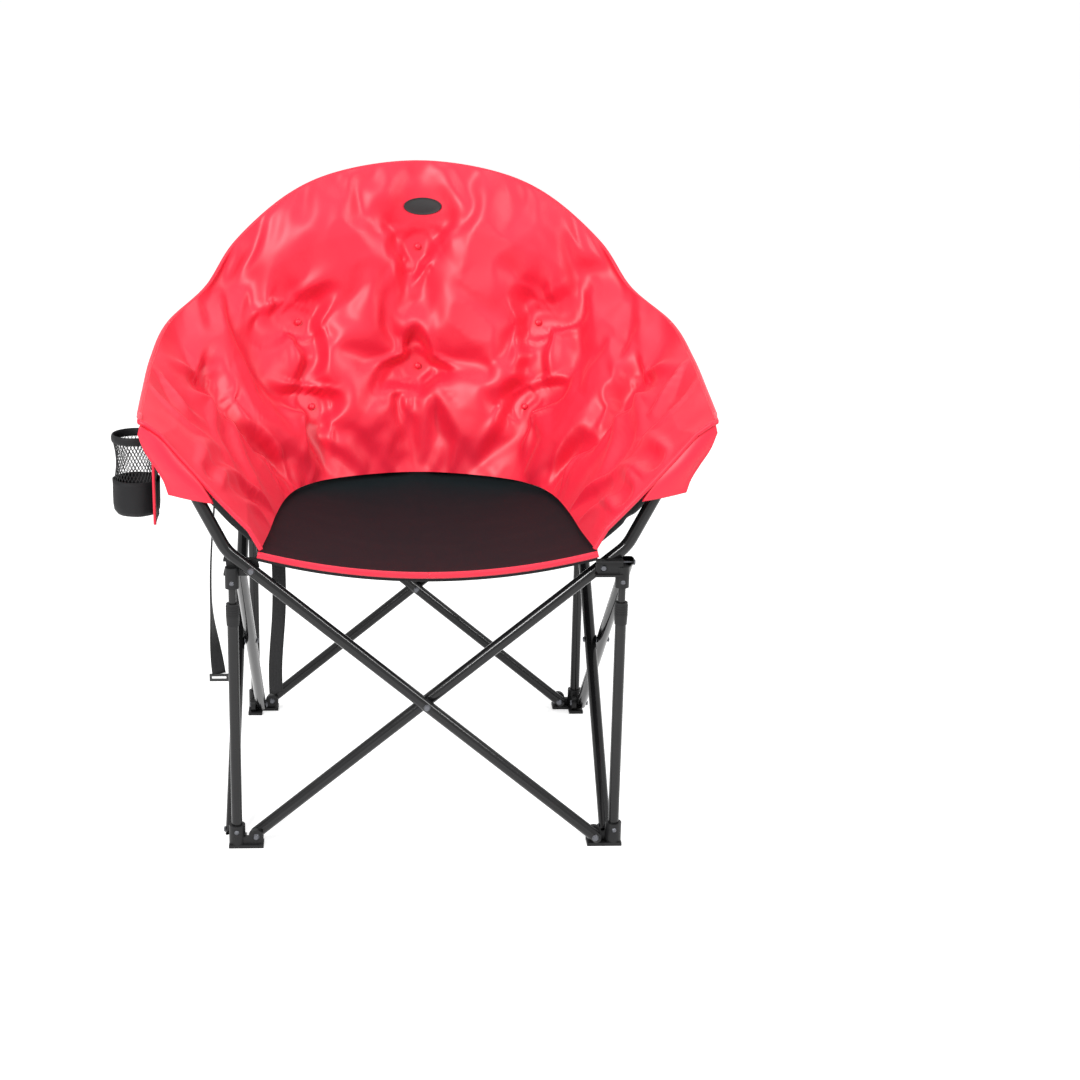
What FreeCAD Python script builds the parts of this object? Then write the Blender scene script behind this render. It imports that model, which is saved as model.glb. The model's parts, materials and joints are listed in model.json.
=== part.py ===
"""Padded folding camping chair: four scissor faces, telescopic legs and a quilted bucket seat.

Millimetres. The sitter faces -Y, the arm with the cup holder is at -X, Z is up and the floor is
Z = 0. The origin lies on the floor in the middle of the four legs. Left means -X and right +X.
"""
import math
import os

import FreeCAD
import Part

Vector = FreeCAD.Vector

# Driving dimensions of the frame
LEG_SPAN_X = 556.0
LEG_SPAN_Y = 544.0
PIVOT_SPAN = 500.0
FOOT_PIVOT_Z = 16.0
HUB_PIVOT_Z = 430.0

# Scissor tubes, and the gap that lets two of them pass each other
TUBE_R = 9.0
TUBE_WALL = 1.2
LAYER_GAP = 1.0
ROUND_END_TRIM = 0.05
BEND_RADIUS = 60.0
BEND_START = 45.0
ARM_LEAN_DEG = 27.0
ARM_LENGTH = 150.0
BACK_LEAN_DEG = 9.3
BACK_LENGTH = 268.0

# Telescopic legs
LEG_R = 8.0
LEG_WALL = 1.2
LEG_TOP_Z = 368.0
SLIDER_R = 5.5
SLIDER_WALL = 1.0
SLIDER_BOTTOM_Z = 112.0
COLLAR_BOTTOM_Z = 344.0
COLLAR_TOP_Z = 377.0
COLLAR_R = 9.8
COLLAR_FOOT_R = 8.9
COLLAR_RIBS = 4
COLLAR_RIB_PITCH = 3.6
COLLAR_RIB_DEPTH = 0.6
RUNNING_GAP = 0.1

# Moulded feet and hubs
SOCKET_R = 12.0
SOCKET_TOP_Z = 34.0
SOCKET_FLOOR_Z = 6.0
LUG_THICKNESS = 7.5
LUG_END_R = 11.0
LUG_CLEARANCE = 0.3
BASE_THICKNESS = 5.0
HUB_SLEEVE_R = 10.0
HUB_SLEEVE_BOTTOM_Z = 400.0
HUB_SLEEVE_TOP_Z = 431.0
HUB_SEAT_Z = 428.0
HUB_HALF_HEIGHT = 12.0
FLANGE_REACH = 12.0
FLANGE_THICKNESS = 3.0
PASSAGE_GAP = 0.25
PASSAGE_LENGTH = 60.0

# Rivets
PIN_R = 2.5
PIN_CLEARANCE = 0.05
PIN_HEAD_R = 5.0
PIN_HEAD_TOP_R = 3.4
PIN_HEAD_HEIGHT = 2.2
SCREW_R = 2.0
SCREW_HEAD_HEIGHT = 1.5
LEG_SCREW_Z = 25.0
LEG_SCREW_DEPTH = 4.0
SLIDER_SCREW_Z = 409.0
SLIDER_SCREW_DEPTH = 3.0
WASHER_R = 7.0

# Quilted bucket: seams, crowns and the sewn edge
CROWN_IN = 22.0
CROWN_OUT = 9.0
TUFT_IN = 4.0
SOFT_ROW_IN = 17.0
EDGE_IN = 6.0
EDGE_OUT = 5.0
SOFT_GAP = 0.4
BUTTON_R = 4.5
BUTTON_LIFT = 4.0
BUTTON_HEIGHT = 3.0
BADGE_X = 12.0
BADGE_SHARE = 0.865
BADGE_LIFT = 2.2
BADGE_HALF_WIDTH = 31.0
BADGE_HALF_HEIGHT = 14.0
BADGE_THICKNESS = 1.6

# Seat panel, arm sleeves and back pockets
SEAT_FRONT_Y = -286.0
SEAT_THICKNESS = 11.0
SEAT_SAG_SHARE = 0.72
BINDING_R = 5.0
SLEEVE_WALL_Y = 248.4
SLEEVE_BORE_GAP = 0.4
SLEEVE_PADDING = 9.0
SLEEVE_CROWN = 5.0
TIP_GAP = 4.0
# Sleeve cuts along the arm: distance from the bend point, reach outward and reach towards the seat
SLEEVE_CUTS = [(80.0, 12.5, 34.0), (140.0, 12.5, 24.0), (204.0, 10.5, 12.5)]
POCKET_LENGTH = 95.0
POCKET_WALL = 2.0
POCKET_FRONT_Y = 256.0

# Cup holder on the left arm
CUP_CENTRE = Vector(-418.0, -188.0, 0.0)
CUP_R = 34.0
CUP_TOP_Z = 606.0
CUP_BAND_HEIGHT = 12.0
CUP_BASE_TOP_Z = 540.0
CUP_BOTTOM_Z = 488.0
CUP_CLOTH = 1.6
NET_ROWS = 5
NET_COLUMNS = 20
NET_OPENING = 7.0
NET_THICKNESS = 1.0
FLAP_HALF_WIDTH = 62.0
FLAP_THICKNESS = 2.0
FLAP_BOTTOM_Z = 482.0
FLAP_TOP_Z = 602.0

# Tie straps of flat webbing under the left side
WEBBING_WIDTH = 20.0
WEBBING_THICKNESS = 1.6
ARC_SHARE = 0.45

LEG_X = LEG_SPAN_X / 2
LEG_Y = LEG_SPAN_Y / 2
INSET_X = (LEG_SPAN_X - PIVOT_SPAN) / 2
INSET_Y = (LEG_SPAN_Y - PIVOT_SPAN) / 2
LAYER = TUBE_R + LAYER_GAP / 2
OUTER, INNER = 1, -1

# Front corners: sign of X and Y, then the layer of the X tube and of the Y tube at its foot and hub.
# Each rear corner is the diagonally opposite front one, turned half round the chair's upright axis.
CORNERS = {
    "front_left": (-1, -1, (INNER, OUTER), (OUTER, INNER)),
    "front_right": (1, -1, (OUTER, INNER), (INNER, OUTER)),
}
OPPOSITE = {"front_left": "rear_right", "front_right": "rear_left"}

UP = Vector(0, 0, 1)


def cylinder(radius, start, end):
    """A round bar from one point to another."""
    axis = end - start
    return Part.makeCylinder(radius, axis.Length, start, axis)


def ring(outer, inner, start, end):
    """A round tube from one point to another."""
    return cylinder(outer, start, end).cut(cylinder(inner, start, end))


def slab(corner_a, corner_b):
    """A box between any two opposite corners."""
    low = Vector(min(corner_a.x, corner_b.x), min(corner_a.y, corner_b.y), min(corner_a.z, corner_b.z))
    high = Vector(max(corner_a.x, corner_b.x), max(corner_a.y, corner_b.y), max(corner_a.z, corner_b.z))
    size = high - low
    return Part.makeBox(size.x, size.y, size.z, low)


def headed_pin(radius, start, end):
    """A rivet whose shank runs from start to end, with a low head past each end."""
    way = (end - start).normalize()
    shank = cylinder(radius, start, end)
    head_a = Part.makeCone(PIN_HEAD_R, PIN_HEAD_TOP_R, PIN_HEAD_HEIGHT, start, way * -1)
    head_b = Part.makeCone(PIN_HEAD_R, PIN_HEAD_TOP_R, PIN_HEAD_HEIGHT, end, way)
    return shank.fuse([head_a, head_b]).removeSplitter()


def corner_faces(name, level):
    """The two scissor faces that meet at a corner: inward way, outward way, layer and inset."""
    sign_x, sign_y, foot_layers, hub_layers = CORNERS[name]
    layers = foot_layers if level == "foot" else hub_layers
    along_x = (Vector(-sign_x, 0, 0), Vector(0, sign_y, 0), layers[0], INSET_X)
    along_y = (Vector(0, -sign_y, 0), Vector(sign_x, 0, 0), layers[1], INSET_Y)
    return along_x, along_y


def leg_axis(name, height):
    """The point of a leg's axis at a height."""
    sign_x, sign_y = CORNERS[name][:2]
    return Vector(sign_x * LEG_X, sign_y * LEG_Y, height)


def pivot_lug(axis_point, face, low_z, high_z):
    """A plate beside the leg, with a round end about the pivot, on the free side of its tube."""
    inward, outward, layer, inset = face
    far_side = outward * (-layer * LUG_THICKNESS)
    near_side = outward * (layer * (LAYER_GAP / 2 - LUG_CLEARANCE))
    pivot = axis_point + inward * inset
    low = Vector(axis_point.x, axis_point.y, low_z) + far_side
    high = Vector(pivot.x, pivot.y, high_z) + near_side
    return slab(low, high).fuse(cylinder(LUG_END_R, pivot + far_side, pivot + near_side))


def pivot_pin_ends(axis_point, face):
    """Shank ends of the rivet through a lug and its tube."""
    inward, outward, layer, inset = face
    pivot = axis_point + inward * inset
    tube_far = LAYER_GAP / 2 + 2 * TUBE_R + LUG_CLEARANCE
    return pivot - outward * (layer * LUG_THICKNESS), pivot + outward * (layer * tube_far)


def pivot_hole(axis_point, face):
    """Room for the rivet's shank through a lug, open at both faces."""
    start, end = pivot_pin_ends(axis_point, face)
    way = (end - start).normalize()
    return cylinder(PIN_R, start - way, end)


def outward_screw(name, height, reach, depth):
    """Shank ends of a small screw that holds a tube, from the front or back face inward."""
    outward = Vector(0, CORNERS[name][1], 0)
    centre = leg_axis(name, height)
    return centre + outward * reach, centre - outward * depth


def make_foot(name):
    """Moulded foot: leg socket, two pivot plates and a flat sole."""
    pivot_level = leg_axis(name, FOOT_PIVOT_Z)
    floor_point = leg_axis(name, 0)
    socket = cylinder(SOCKET_R, floor_point, leg_axis(name, SOCKET_TOP_Z))
    plates = []
    holes = [
        cylinder(LEG_R, leg_axis(name, SOCKET_FLOOR_Z), leg_axis(name, SOCKET_TOP_Z + 1)),
        cylinder(SCREW_R, *outward_screw(name, LEG_SCREW_Z, SOCKET_R + 1, LEG_SCREW_DEPTH)),
    ]
    for face in corner_faces(name, "foot"):
        inward, outward, layer, inset = face
        plates.append(pivot_lug(pivot_level, face, 0, FOOT_PIVOT_Z))
        sole_low = floor_point - inward * SOCKET_R - outward * SOCKET_R
        sole_high = floor_point + inward * (inset + LUG_END_R) + outward * SOCKET_R + UP * BASE_THICKNESS
        plates.append(slab(sole_low, sole_high))
        holes.append(pivot_hole(pivot_level, face))
    return socket.fuse(plates).cut(holes).removeSplitter()


def upper_tube_passage(name):
    """Room over a hub for the scissor tube that runs on upward past it."""
    inward, outward, layer, inset = corner_faces(name, "hub")[0]
    pivot = leg_axis(name, HUB_PIVOT_Z) + inward * inset + outward * (layer * LAYER)
    way = (inward * -PIVOT_SPAN + UP * (HUB_PIVOT_Z - FOOT_PIVOT_Z)).normalize()
    return cylinder(TUBE_R + PASSAGE_GAP, pivot, pivot + way * PASSAGE_LENGTH)


def make_hub(name):
    """Moulded hub: blind sleeve on the thin tube, two flanged pivot plates."""
    pivot_level = leg_axis(name, HUB_PIVOT_Z)
    low_z = HUB_PIVOT_Z - HUB_HALF_HEIGHT
    high_z = HUB_PIVOT_Z + HUB_HALF_HEIGHT
    sleeve = cylinder(HUB_SLEEVE_R, leg_axis(name, HUB_SLEEVE_BOTTOM_Z), leg_axis(name, HUB_SLEEVE_TOP_Z))
    plates = []
    holes = [
        cylinder(SLIDER_R, leg_axis(name, HUB_SLEEVE_BOTTOM_Z - 1), leg_axis(name, HUB_SEAT_Z)),
        cylinder(SCREW_R, *outward_screw(name, SLIDER_SCREW_Z, HUB_SLEEVE_R + 1, SLIDER_SCREW_DEPTH)),
        upper_tube_passage(name),
    ]
    for face in corner_faces(name, "hub"):
        inward, outward, layer, inset = face
        plates.append(pivot_lug(pivot_level, face, low_z, high_z))
        near_side = outward * (layer * (LAYER_GAP / 2 - LUG_CLEARANCE))
        far_side = outward * (-layer * FLANGE_REACH)
        for flange_z in (low_z, high_z - FLANGE_THICKNESS):
            start = leg_axis(name, flange_z) + near_side
            end = leg_axis(name, flange_z + FLANGE_THICKNESS) + inward * (inset + LUG_END_R) + far_side
            plates.append(slab(start, end))
        holes.append(pivot_hole(pivot_level, face))
    return sleeve.fuse(plates).cut(holes).removeSplitter()


def make_leg(name):
    """Outer leg tube with the screw hole at its foot."""
    tube = ring(LEG_R, LEG_R - LEG_WALL, leg_axis(name, SOCKET_FLOOR_Z), leg_axis(name, LEG_TOP_Z))
    return tube.cut(cylinder(SCREW_R, *outward_screw(name, LEG_SCREW_Z, SOCKET_R, LEG_SCREW_DEPTH)))


def make_slider(name):
    """Thin inner leg tube that hangs from the hub."""
    low, high = leg_axis(name, SLIDER_BOTTOM_Z), leg_axis(name, HUB_SEAT_Z)
    screw = cylinder(SCREW_R, *outward_screw(name, SLIDER_SCREW_Z, HUB_SLEEVE_R, SLIDER_SCREW_DEPTH))
    return ring(SLIDER_R, SLIDER_R - SLIDER_WALL, low, high).cut(screw)


def make_collar(name):
    """Ribbed plastic collar on the mouth of the outer leg tube; the thin tube slides through it."""
    waist_z = COLLAR_TOP_Z - (COLLAR_RIBS + 1) * COLLAR_RIB_PITCH
    base = leg_axis(name, 0)
    skirt_height = waist_z - COLLAR_BOTTOM_Z
    body = Part.makeCone(COLLAR_FOOT_R, COLLAR_R, skirt_height, base + UP * COLLAR_BOTTOM_Z, UP)
    body = body.fuse(cylinder(COLLAR_R - COLLAR_RIB_DEPTH, base + UP * waist_z, base + UP * COLLAR_TOP_Z))
    for rib in range(COLLAR_RIBS):
        rib_z = waist_z + (rib + 0.5) * COLLAR_RIB_PITCH
        rib_top_z = rib_z + COLLAR_RIB_PITCH / 2
        body = body.fuse(cylinder(COLLAR_R, base + UP * rib_z, base + UP * rib_top_z))
    body = body.cut(cylinder(LEG_R, base + UP * (COLLAR_BOTTOM_Z - 1), base + UP * LEG_TOP_Z))
    return body.cut(cylinder(SLIDER_R + RUNNING_GAP, base + UP * LEG_TOP_Z, base + UP * (COLLAR_TOP_Z + 1)))


def round_end_cutter(pivot, beyond, pin_axis):
    """What a tube end loses so that it is round about its pivot."""
    reach = 3 * TUBE_R
    side = beyond.cross(pin_axis)
    corner = pivot - side * reach - pin_axis * reach
    across = side * (2 * reach)
    points = [corner, corner + across, corner + across + beyond * reach, corner + beyond * reach]
    block = Part.Face(Part.makePolygon(points + points[:1])).extrude(pin_axis * 2 * reach)
    return block.cut(cylinder(TUBE_R - ROUND_END_TRIM, pivot - pin_axis * reach, pivot + pin_axis * reach))


def bent_path(start, vertex, end, radius):
    """Two straight runs with a tangent arc at the vertex."""
    way_in = (vertex - start).normalize()
    way_out = (end - vertex).normalize()
    turn = way_in.getAngle(way_out)
    setback = radius * math.tan(turn / 2)
    arc_start = vertex - way_in * setback
    arc_end = vertex + way_out * setback
    bisector = (way_out - way_in).normalize()
    centre = vertex + bisector * (radius / math.cos(turn / 2))
    arc_mid = centre - bisector * radius
    return Part.Wire([
        Part.LineSegment(start, arc_start).toShape(),
        Part.Arc(arc_start, arc_mid, arc_end).toShape(),
        Part.LineSegment(arc_end, end).toShape(),
    ])


def swept(path, radius):
    """A round bar along a wire of lines and arcs."""
    first = path.Edges[0]
    start = first.valueAt(first.FirstParameter)
    profile = Part.Wire([Part.makeCircle(radius, start, first.tangentAt(first.FirstParameter))])
    return path.makePipeShell([profile], True, False)


def scissor_points(across, layer, from_low_side):
    """Foot pivot, hub pivot, tube direction and rivet way of one scissor tube.

    across is the face's outward way; from_low_side says that the foot lies on the face's -X or -Y end.
    """
    along = Vector(1, 0, 0) if across.x == 0 else Vector(0, 1, 0)
    distance = LEG_Y if across.x == 0 else LEG_X
    if not from_low_side:
        along = along * -1
    plane = across * (distance + layer * LAYER)
    foot = plane - along * (PIVOT_SPAN / 2) + UP * FOOT_PIVOT_Z
    hub = plane + along * (PIVOT_SPAN / 2) + UP * HUB_PIVOT_Z
    return foot, hub, along


def make_scissor(across, layer, from_low_side, lean_deg=None, upper_length=0.0):
    """A scissor tube: foot pivot, crossing and hub pivot, and for four of them a bent upper arm."""
    foot, hub, along = scissor_points(across, layer, from_low_side)
    way = (hub - foot).normalize()
    if lean_deg is None:
        path = Part.Wire([Part.LineSegment(foot - way * TUBE_R, hub + way * TUBE_R).toShape()])
        tip_ways = [(foot, way * -1), (hub, way)]
    else:
        vertex, tip = upper_points(across, layer, from_low_side, lean_deg, upper_length)
        path = bent_path(foot - way * TUBE_R, vertex, tip, BEND_RADIUS)
        tip_ways = [(foot, way * -1)]
    tube = swept(path, TUBE_R).cut(swept(path, TUBE_R - TUBE_WALL))
    for pivot, beyond in tip_ways:
        tube = tube.cut(round_end_cutter(pivot, beyond, across))
    crossing = (foot + hub) * 0.5
    crossing_r = PIN_R if layer == INNER else PIN_R + PIN_CLEARANCE
    running_r = PIN_R + PIN_CLEARANCE
    for centre, radius in ((foot, running_r), (hub, running_r), (crossing, crossing_r)):
        tube = tube.cut(cylinder(radius, centre - across * 2 * TUBE_R, centre + across * 2 * TUBE_R))
    return tube


def upper_points(across, layer, from_low_side, lean_deg, upper_length):
    """Bend point and tip of a scissor tube that runs on above its hub."""
    foot, hub, along = scissor_points(across, layer, from_low_side)
    vertex = hub + (hub - foot).normalize() * BEND_START
    lean = math.radians(lean_deg)
    tip = vertex + (along * math.sin(lean) + UP * math.cos(lean)) * upper_length
    return vertex, tip


def make_cross_rivet(across):
    """Rivet at the crossing of a face, with the washer between its two tubes."""
    distance = LEG_Y if across.x == 0 else LEG_X
    centre = across * distance + UP * ((FOOT_PIVOT_Z + HUB_PIVOT_Z) / 2)
    reach = LAYER_GAP / 2 + 2 * TUBE_R + LUG_CLEARANCE
    rivet = headed_pin(PIN_R, centre - across * reach, centre + across * reach)
    half = across * (LAYER_GAP / 2 - RUNNING_GAP)
    washer = ring(WASHER_R, PIN_R + PIN_CLEARANCE, centre - half, centre + half)
    return Part.makeCompound([rivet, washer])


def make_corner_pins(name, level):
    """Both pivot rivets of a foot or hub and the screw that holds its leg tube."""
    height = FOOT_PIVOT_Z if level == "foot" else HUB_PIVOT_Z
    pins = []
    for face in corner_faces(name, level):
        pins.append(headed_pin(PIN_R, *pivot_pin_ends(leg_axis(name, height), face)))
    if level == "foot":
        outer, inner = outward_screw(name, LEG_SCREW_Z, SOCKET_R, LEG_SCREW_DEPTH)
    else:
        outer, inner = outward_screw(name, SLIDER_SCREW_Z, HUB_SLEEVE_R, SLIDER_SCREW_DEPTH)
    way = (outer - inner).normalize()
    screw = cylinder(SCREW_R, inner, outer)
    head = Part.makeCone(PIN_HEAD_TOP_R, SCREW_R, SCREW_HEAD_HEIGHT, outer, way)
    return Part.makeCompound(pins + [screw.fuse(head).removeSplitter()])


class Station:
    """One upright cut through the quilted bucket, from the seat seam to the rim.

    rows are the heights, as shares of the cut, where the quilt is drawn in; depths are the padding
    left there. A tuft leaves little and a soft fold leaves most of the crown.
    """

    def __init__(self, seam, rim, sag, rows, depths, outward):
        self.seam = Vector(*seam)
        self.rim = Vector(*rim)
        self.sag = sag
        self.shares = [0.0] + list(rows) + [1.0]
        self.depths = [EDGE_IN] + list(depths) + [EDGE_IN]
        chord = self.rim - self.seam
        self.along = Vector(chord).normalize()
        hint = Vector(*outward)
        self.out = (hint - self.along * hint.dot(self.along)).normalize()
        self.length = chord.Length

    def middle(self, share):
        """Point of the middle line at a share of the height."""
        bulge = 4 * self.sag * share * (1 - share)
        return self.seam + self.along * (share * self.length) + self.out * bulge

    def inner(self, share, depth):
        """Point of the sitter's side."""
        return self.middle(share) - self.out * depth

    def outer(self, share, depth):
        """Point of the lining's side."""
        return self.middle(share) + self.out * depth

    def wire(self, shift=0.0):
        """Closed outline: three crowned arcs inside, three flatter ones outside, straight ends."""
        offset = self.along.cross(self.out) * shift
        edges = []
        spans = list(zip(self.shares, self.shares[1:], self.depths, self.depths[1:]))
        for low, high, depth_low, depth_high in spans:
            start = self.inner(low, depth_low)
            middle = self.inner((low + high) / 2, max(CROWN_IN, depth_low, depth_high))
            edges.append((start, middle, self.inner(high, depth_high)))
        edges.append((self.inner(1.0, EDGE_IN), None, self.outer(1.0, EDGE_OUT)))
        for low, high, _, _ in reversed(spans):
            edges.append((self.outer(high, EDGE_OUT), self.outer((low + high) / 2, CROWN_OUT),
                          self.outer(low, EDGE_OUT)))
        edges.append((self.outer(0.0, EDGE_OUT), None, self.inner(0.0, EDGE_IN)))
        shapes = []
        for start, middle, end in edges:
            if middle is None:
                shapes.append(Part.LineSegment(start + offset, end + offset).toShape())
            else:
                shapes.append(Part.Arc(start + offset, middle + offset, end + offset).toShape())
        return Part.Wire(shapes)

    def mirrored(self):
        """The same cut on the chair's other side."""
        seam, rim, out = ((-point.x, point.y, point.z) for point in (self.seam, self.rim, self.out))
        return Station(seam, rim, self.sag, self.shares[1:-1], self.depths[1:-1], out)


# Cuts of the left half, from the middle of the back round to the front of the arm
BACK_STATIONS = [
    Station((0, 222, 440), (0, 330, 934), 22, (0.34, 0.73), (TUFT_IN, TUFT_IN), (0, 1, 0)),
    Station((-75, 208, 440), (-122, 320, 921), 26, (0.30, 0.64), (SOFT_ROW_IN, SOFT_ROW_IN), (-0.3, 1, 0)),
    Station((-150, 168, 441), (-212, 303, 884), 28, (0.26, 0.56), (TUFT_IN, TUFT_IN), (-0.6, 1, 0)),
    Station((-188, 122, 442), (-297, 276, 812), 28, (0.30, 0.62), (SOFT_ROW_IN, SOFT_ROW_IN), (-0.9, 1, 0)),
    Station((-206, 74, 444), (-343, 234, 744), 24, (0.34, 0.68), (SOFT_ROW_IN, SOFT_ROW_IN), (-1, 0.8, 0)),
    Station((-219, 10, 446), (-394, 122, 706), 16, (0.36, 0.75), (SOFT_ROW_IN, 8.0), (-1, 0.35, 0)),
]
ARM_STATIONS = [
    BACK_STATIONS[-1],
    Station((-228, -80, 448), (-408, 0, 677), 10, (0.34, 0.70), (SOFT_ROW_IN, SOFT_ROW_IN), (-1, 0.1, 0)),
    Station((-233, -170, 452), (-406, -150, 656), 2, (0.34, 0.68), (SOFT_ROW_IN, SOFT_ROW_IN), (-1, 0, 0)),
    Station((-230, -248, 462), (-399, -248, 646), -6, (0.34, 0.68), (SOFT_ROW_IN, SOFT_ROW_IN), (-1, 0, 0)),
]


def make_back_pad():
    """Quilted back with both rear corners, lofted from cut to cut."""
    left = [station.wire() for station in reversed(BACK_STATIONS)]
    right = [station.mirrored().wire() for station in BACK_STATIONS[1:]]
    return Part.makeLoft(left + right, True, False)


def make_arm_pad(mirror):
    """Quilted arm wing, from the rear corner to the arm sleeve."""
    wires = []
    for index, station in enumerate(ARM_STATIONS):
        cut = station.mirrored() if mirror else station
        forward = 1 if cut.along.cross(cut.out).y < 0 else -1
        wires.append(cut.wire(forward * SOFT_GAP if index == 0 else 0.0))
    return Part.makeLoft(wires, True, False)


def make_tuft_buttons():
    """Cloth-covered buttons that hold the tufts of the back."""
    buttons = []
    tufted = [BACK_STATIONS[0], BACK_STATIONS[2], BACK_STATIONS[2].mirrored()]
    for station in tufted:
        for share in station.shares[1:-1]:
            foot = station.inner(share, TUFT_IN + BUTTON_LIFT)
            top = station.inner(share, TUFT_IN + BUTTON_LIFT + BUTTON_HEIGHT)
            buttons.append(cylinder(BUTTON_R, foot, top))
    return Part.makeCompound(buttons)


def make_badge():
    """Blank oval patch on the upper back."""
    station = BACK_STATIONS[0]
    centre = station.inner(BADGE_SHARE, CROWN_IN + BADGE_LIFT) + Vector(BADGE_X, 0, 0)
    ellipse = Part.Ellipse(Vector(0, 0, 0), BADGE_HALF_WIDTH, BADGE_HALF_HEIGHT)
    patch = Part.Face(Part.Wire([ellipse.toShape()])).extrude(UP * BADGE_THICKNESS)
    facing = FreeCAD.Rotation(Vector(1, 0, 0), station.along, station.out * -1, "XYZ")
    patch.Placement = FreeCAD.Placement(centre, facing)
    return patch


# Seat cuts from front to back: Y, half width, height at the side and at the middle
SEAT_CUTS = [
    (SEAT_FRONT_Y, 222, 447, 430),
    (-150, 218, 443, 425),
    (0, 208, 439, 424),
    (100, 182, 437, 428),
    (165, 130, 435, 431),
    (205, 52, 434, 433),
]


def seat_line(sign, y, half_width, side_z, middle_z):
    """Three points of the panel's sagging top, from the side to the fold line."""
    between_z = side_z + SEAT_SAG_SHARE * (middle_z - side_z)
    return [
        Vector(sign * half_width, y, side_z),
        Vector(sign * half_width / 2, y, between_z),
        Vector(sign * SOFT_GAP / 2, y, middle_z),
    ]


def make_seat_half(sign):
    """Half of the slung seat panel, split along the fold line down the middle."""
    wires = []
    for y, half_width, side_z, middle_z in SEAT_CUTS:
        top = seat_line(sign, y, half_width, side_z, middle_z)
        low = [point - UP * SEAT_THICKNESS for point in reversed(top)]
        wires.append(Part.Wire([
            Part.Arc(*top).toShape(),
            Part.LineSegment(top[-1], low[0]).toShape(),
            Part.Arc(*low).toShape(),
            Part.LineSegment(low[-1], top[0]).toShape(),
        ]))
    return Part.makeLoft(wires, True, False)


def make_seat_binding(sign):
    """Bound front edge of one seat half."""
    lift = Vector(0, -BINDING_R - SOFT_GAP, -SEAT_THICKNESS / 2)
    points = [point + lift for point in seat_line(sign, *SEAT_CUTS[0])]
    return swept(Part.Wire([Part.Arc(*points).toShape()]), BINDING_R)


def make_arm_sleeve(sign, layer):
    """Cloth sleeve on the front edge of an arm, closed over the tube's tip."""
    across = Vector(0, -1, 0)
    vertex, tip = upper_points(across, layer, sign > 0, ARM_LEAN_DEG, ARM_LENGTH)
    way = (tip - vertex).normalize()
    inward = Vector(-sign * way.z, 0, sign * way.x)
    front_y = vertex.y - TUBE_R - SLEEVE_PADDING
    wires = []
    for distance, outside, inside in SLEEVE_CUTS:
        centre = vertex + way * distance
        centre.y = 0
        low = centre - inward * outside
        high = centre + inward * inside
        front, back = Vector(0, front_y, 0), Vector(0, -SLEEVE_WALL_Y, 0)
        bow = Vector(0, front_y - SLEEVE_CROWN, 0)
        wires.append(Part.Wire([
            Part.LineSegment(low + back, low + front).toShape(),
            Part.Arc(low + front, (low + high) * 0.5 + bow, high + front).toShape(),
            Part.LineSegment(high + front, high + back).toShape(),
            Part.LineSegment(high + back, low + back).toShape(),
        ]))
    bore = cylinder(TUBE_R + SLEEVE_BORE_GAP, vertex, tip + way * TIP_GAP)
    return Part.makeLoft(wires, True, False).cut(bore)


def make_back_pocket(sign, layer):
    """Cloth pocket that holds the tip of a back tube, reaching forward to the quilt's lining."""
    vertex, tip = upper_points(Vector(0, 1, 0), layer, sign > 0, BACK_LEAN_DEG, BACK_LENGTH)
    way = (tip - vertex).normalize()
    bore_r = TUBE_R + SLEEVE_BORE_GAP
    half_width = bore_r + POCKET_WALL
    low = tip - way * POCKET_LENGTH
    top = tip + way * (TIP_GAP + POCKET_WALL)
    side = Vector(way.z, 0, -way.x) * half_width
    forward = Vector(0, POCKET_FRONT_Y - tip.y, 0)
    web = [low - side, low + side, low + side + forward, low - side + forward]
    pocket = Part.Face(Part.makePolygon(web + web[:1])).extrude(top - low)
    pocket = pocket.fuse(cylinder(half_width, low, top))
    bore = cylinder(bore_r, tip - way * (POCKET_LENGTH + 1.0), tip + way * TIP_GAP)
    return pocket.cut(bore).removeSplitter()


def make_cup_band():
    """Stiff hoop at the mouth of the cup holder."""
    top = CUP_CENTRE + UP * CUP_TOP_Z
    return ring(CUP_R, CUP_R - CUP_CLOTH, top - UP * CUP_BAND_HEIGHT, top)


def make_cup_net():
    """Net wall of the cup holder: one round face with diamond openings."""
    low_z = CUP_BASE_TOP_Z + SOFT_GAP
    high_z = CUP_TOP_Z - CUP_BAND_HEIGHT - SOFT_GAP
    net = ring(CUP_R, CUP_R - NET_THICKNESS, CUP_CENTRE + UP * low_z, CUP_CENTRE + UP * high_z)
    pitch = (high_z - low_z) / NET_ROWS
    half = NET_OPENING / 2
    cutters = []
    for row in range(NET_ROWS):
        for column in range(NET_COLUMNS):
            angle = 2 * math.pi * (column + 0.5 * (row % 2)) / NET_COLUMNS
            out = Vector(math.cos(angle), math.sin(angle), 0)
            side = Vector(-math.sin(angle), math.cos(angle), 0)
            centre = CUP_CENTRE + UP * (low_z + pitch * (row + 0.5)) + out * (CUP_R - half)
            points = [centre + side * half, centre + UP * half, centre - side * half, centre - UP * half]
            cutters.append(Part.Face(Part.makePolygon(points + points[:1])).extrude(out * NET_OPENING))
    return net.cut(cutters)


def make_cup_base():
    """Cloth bucket that closes the bottom of the cup holder."""
    floor = CUP_CENTRE + UP * CUP_BOTTOM_Z
    wall = cylinder(CUP_R, floor, CUP_CENTRE + UP * CUP_BASE_TOP_Z)
    mouth = CUP_CENTRE + UP * (CUP_BASE_TOP_Z + 1)
    return wall.cut(cylinder(CUP_R - CUP_CLOTH, floor + UP * CUP_CLOTH, mouth))


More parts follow.
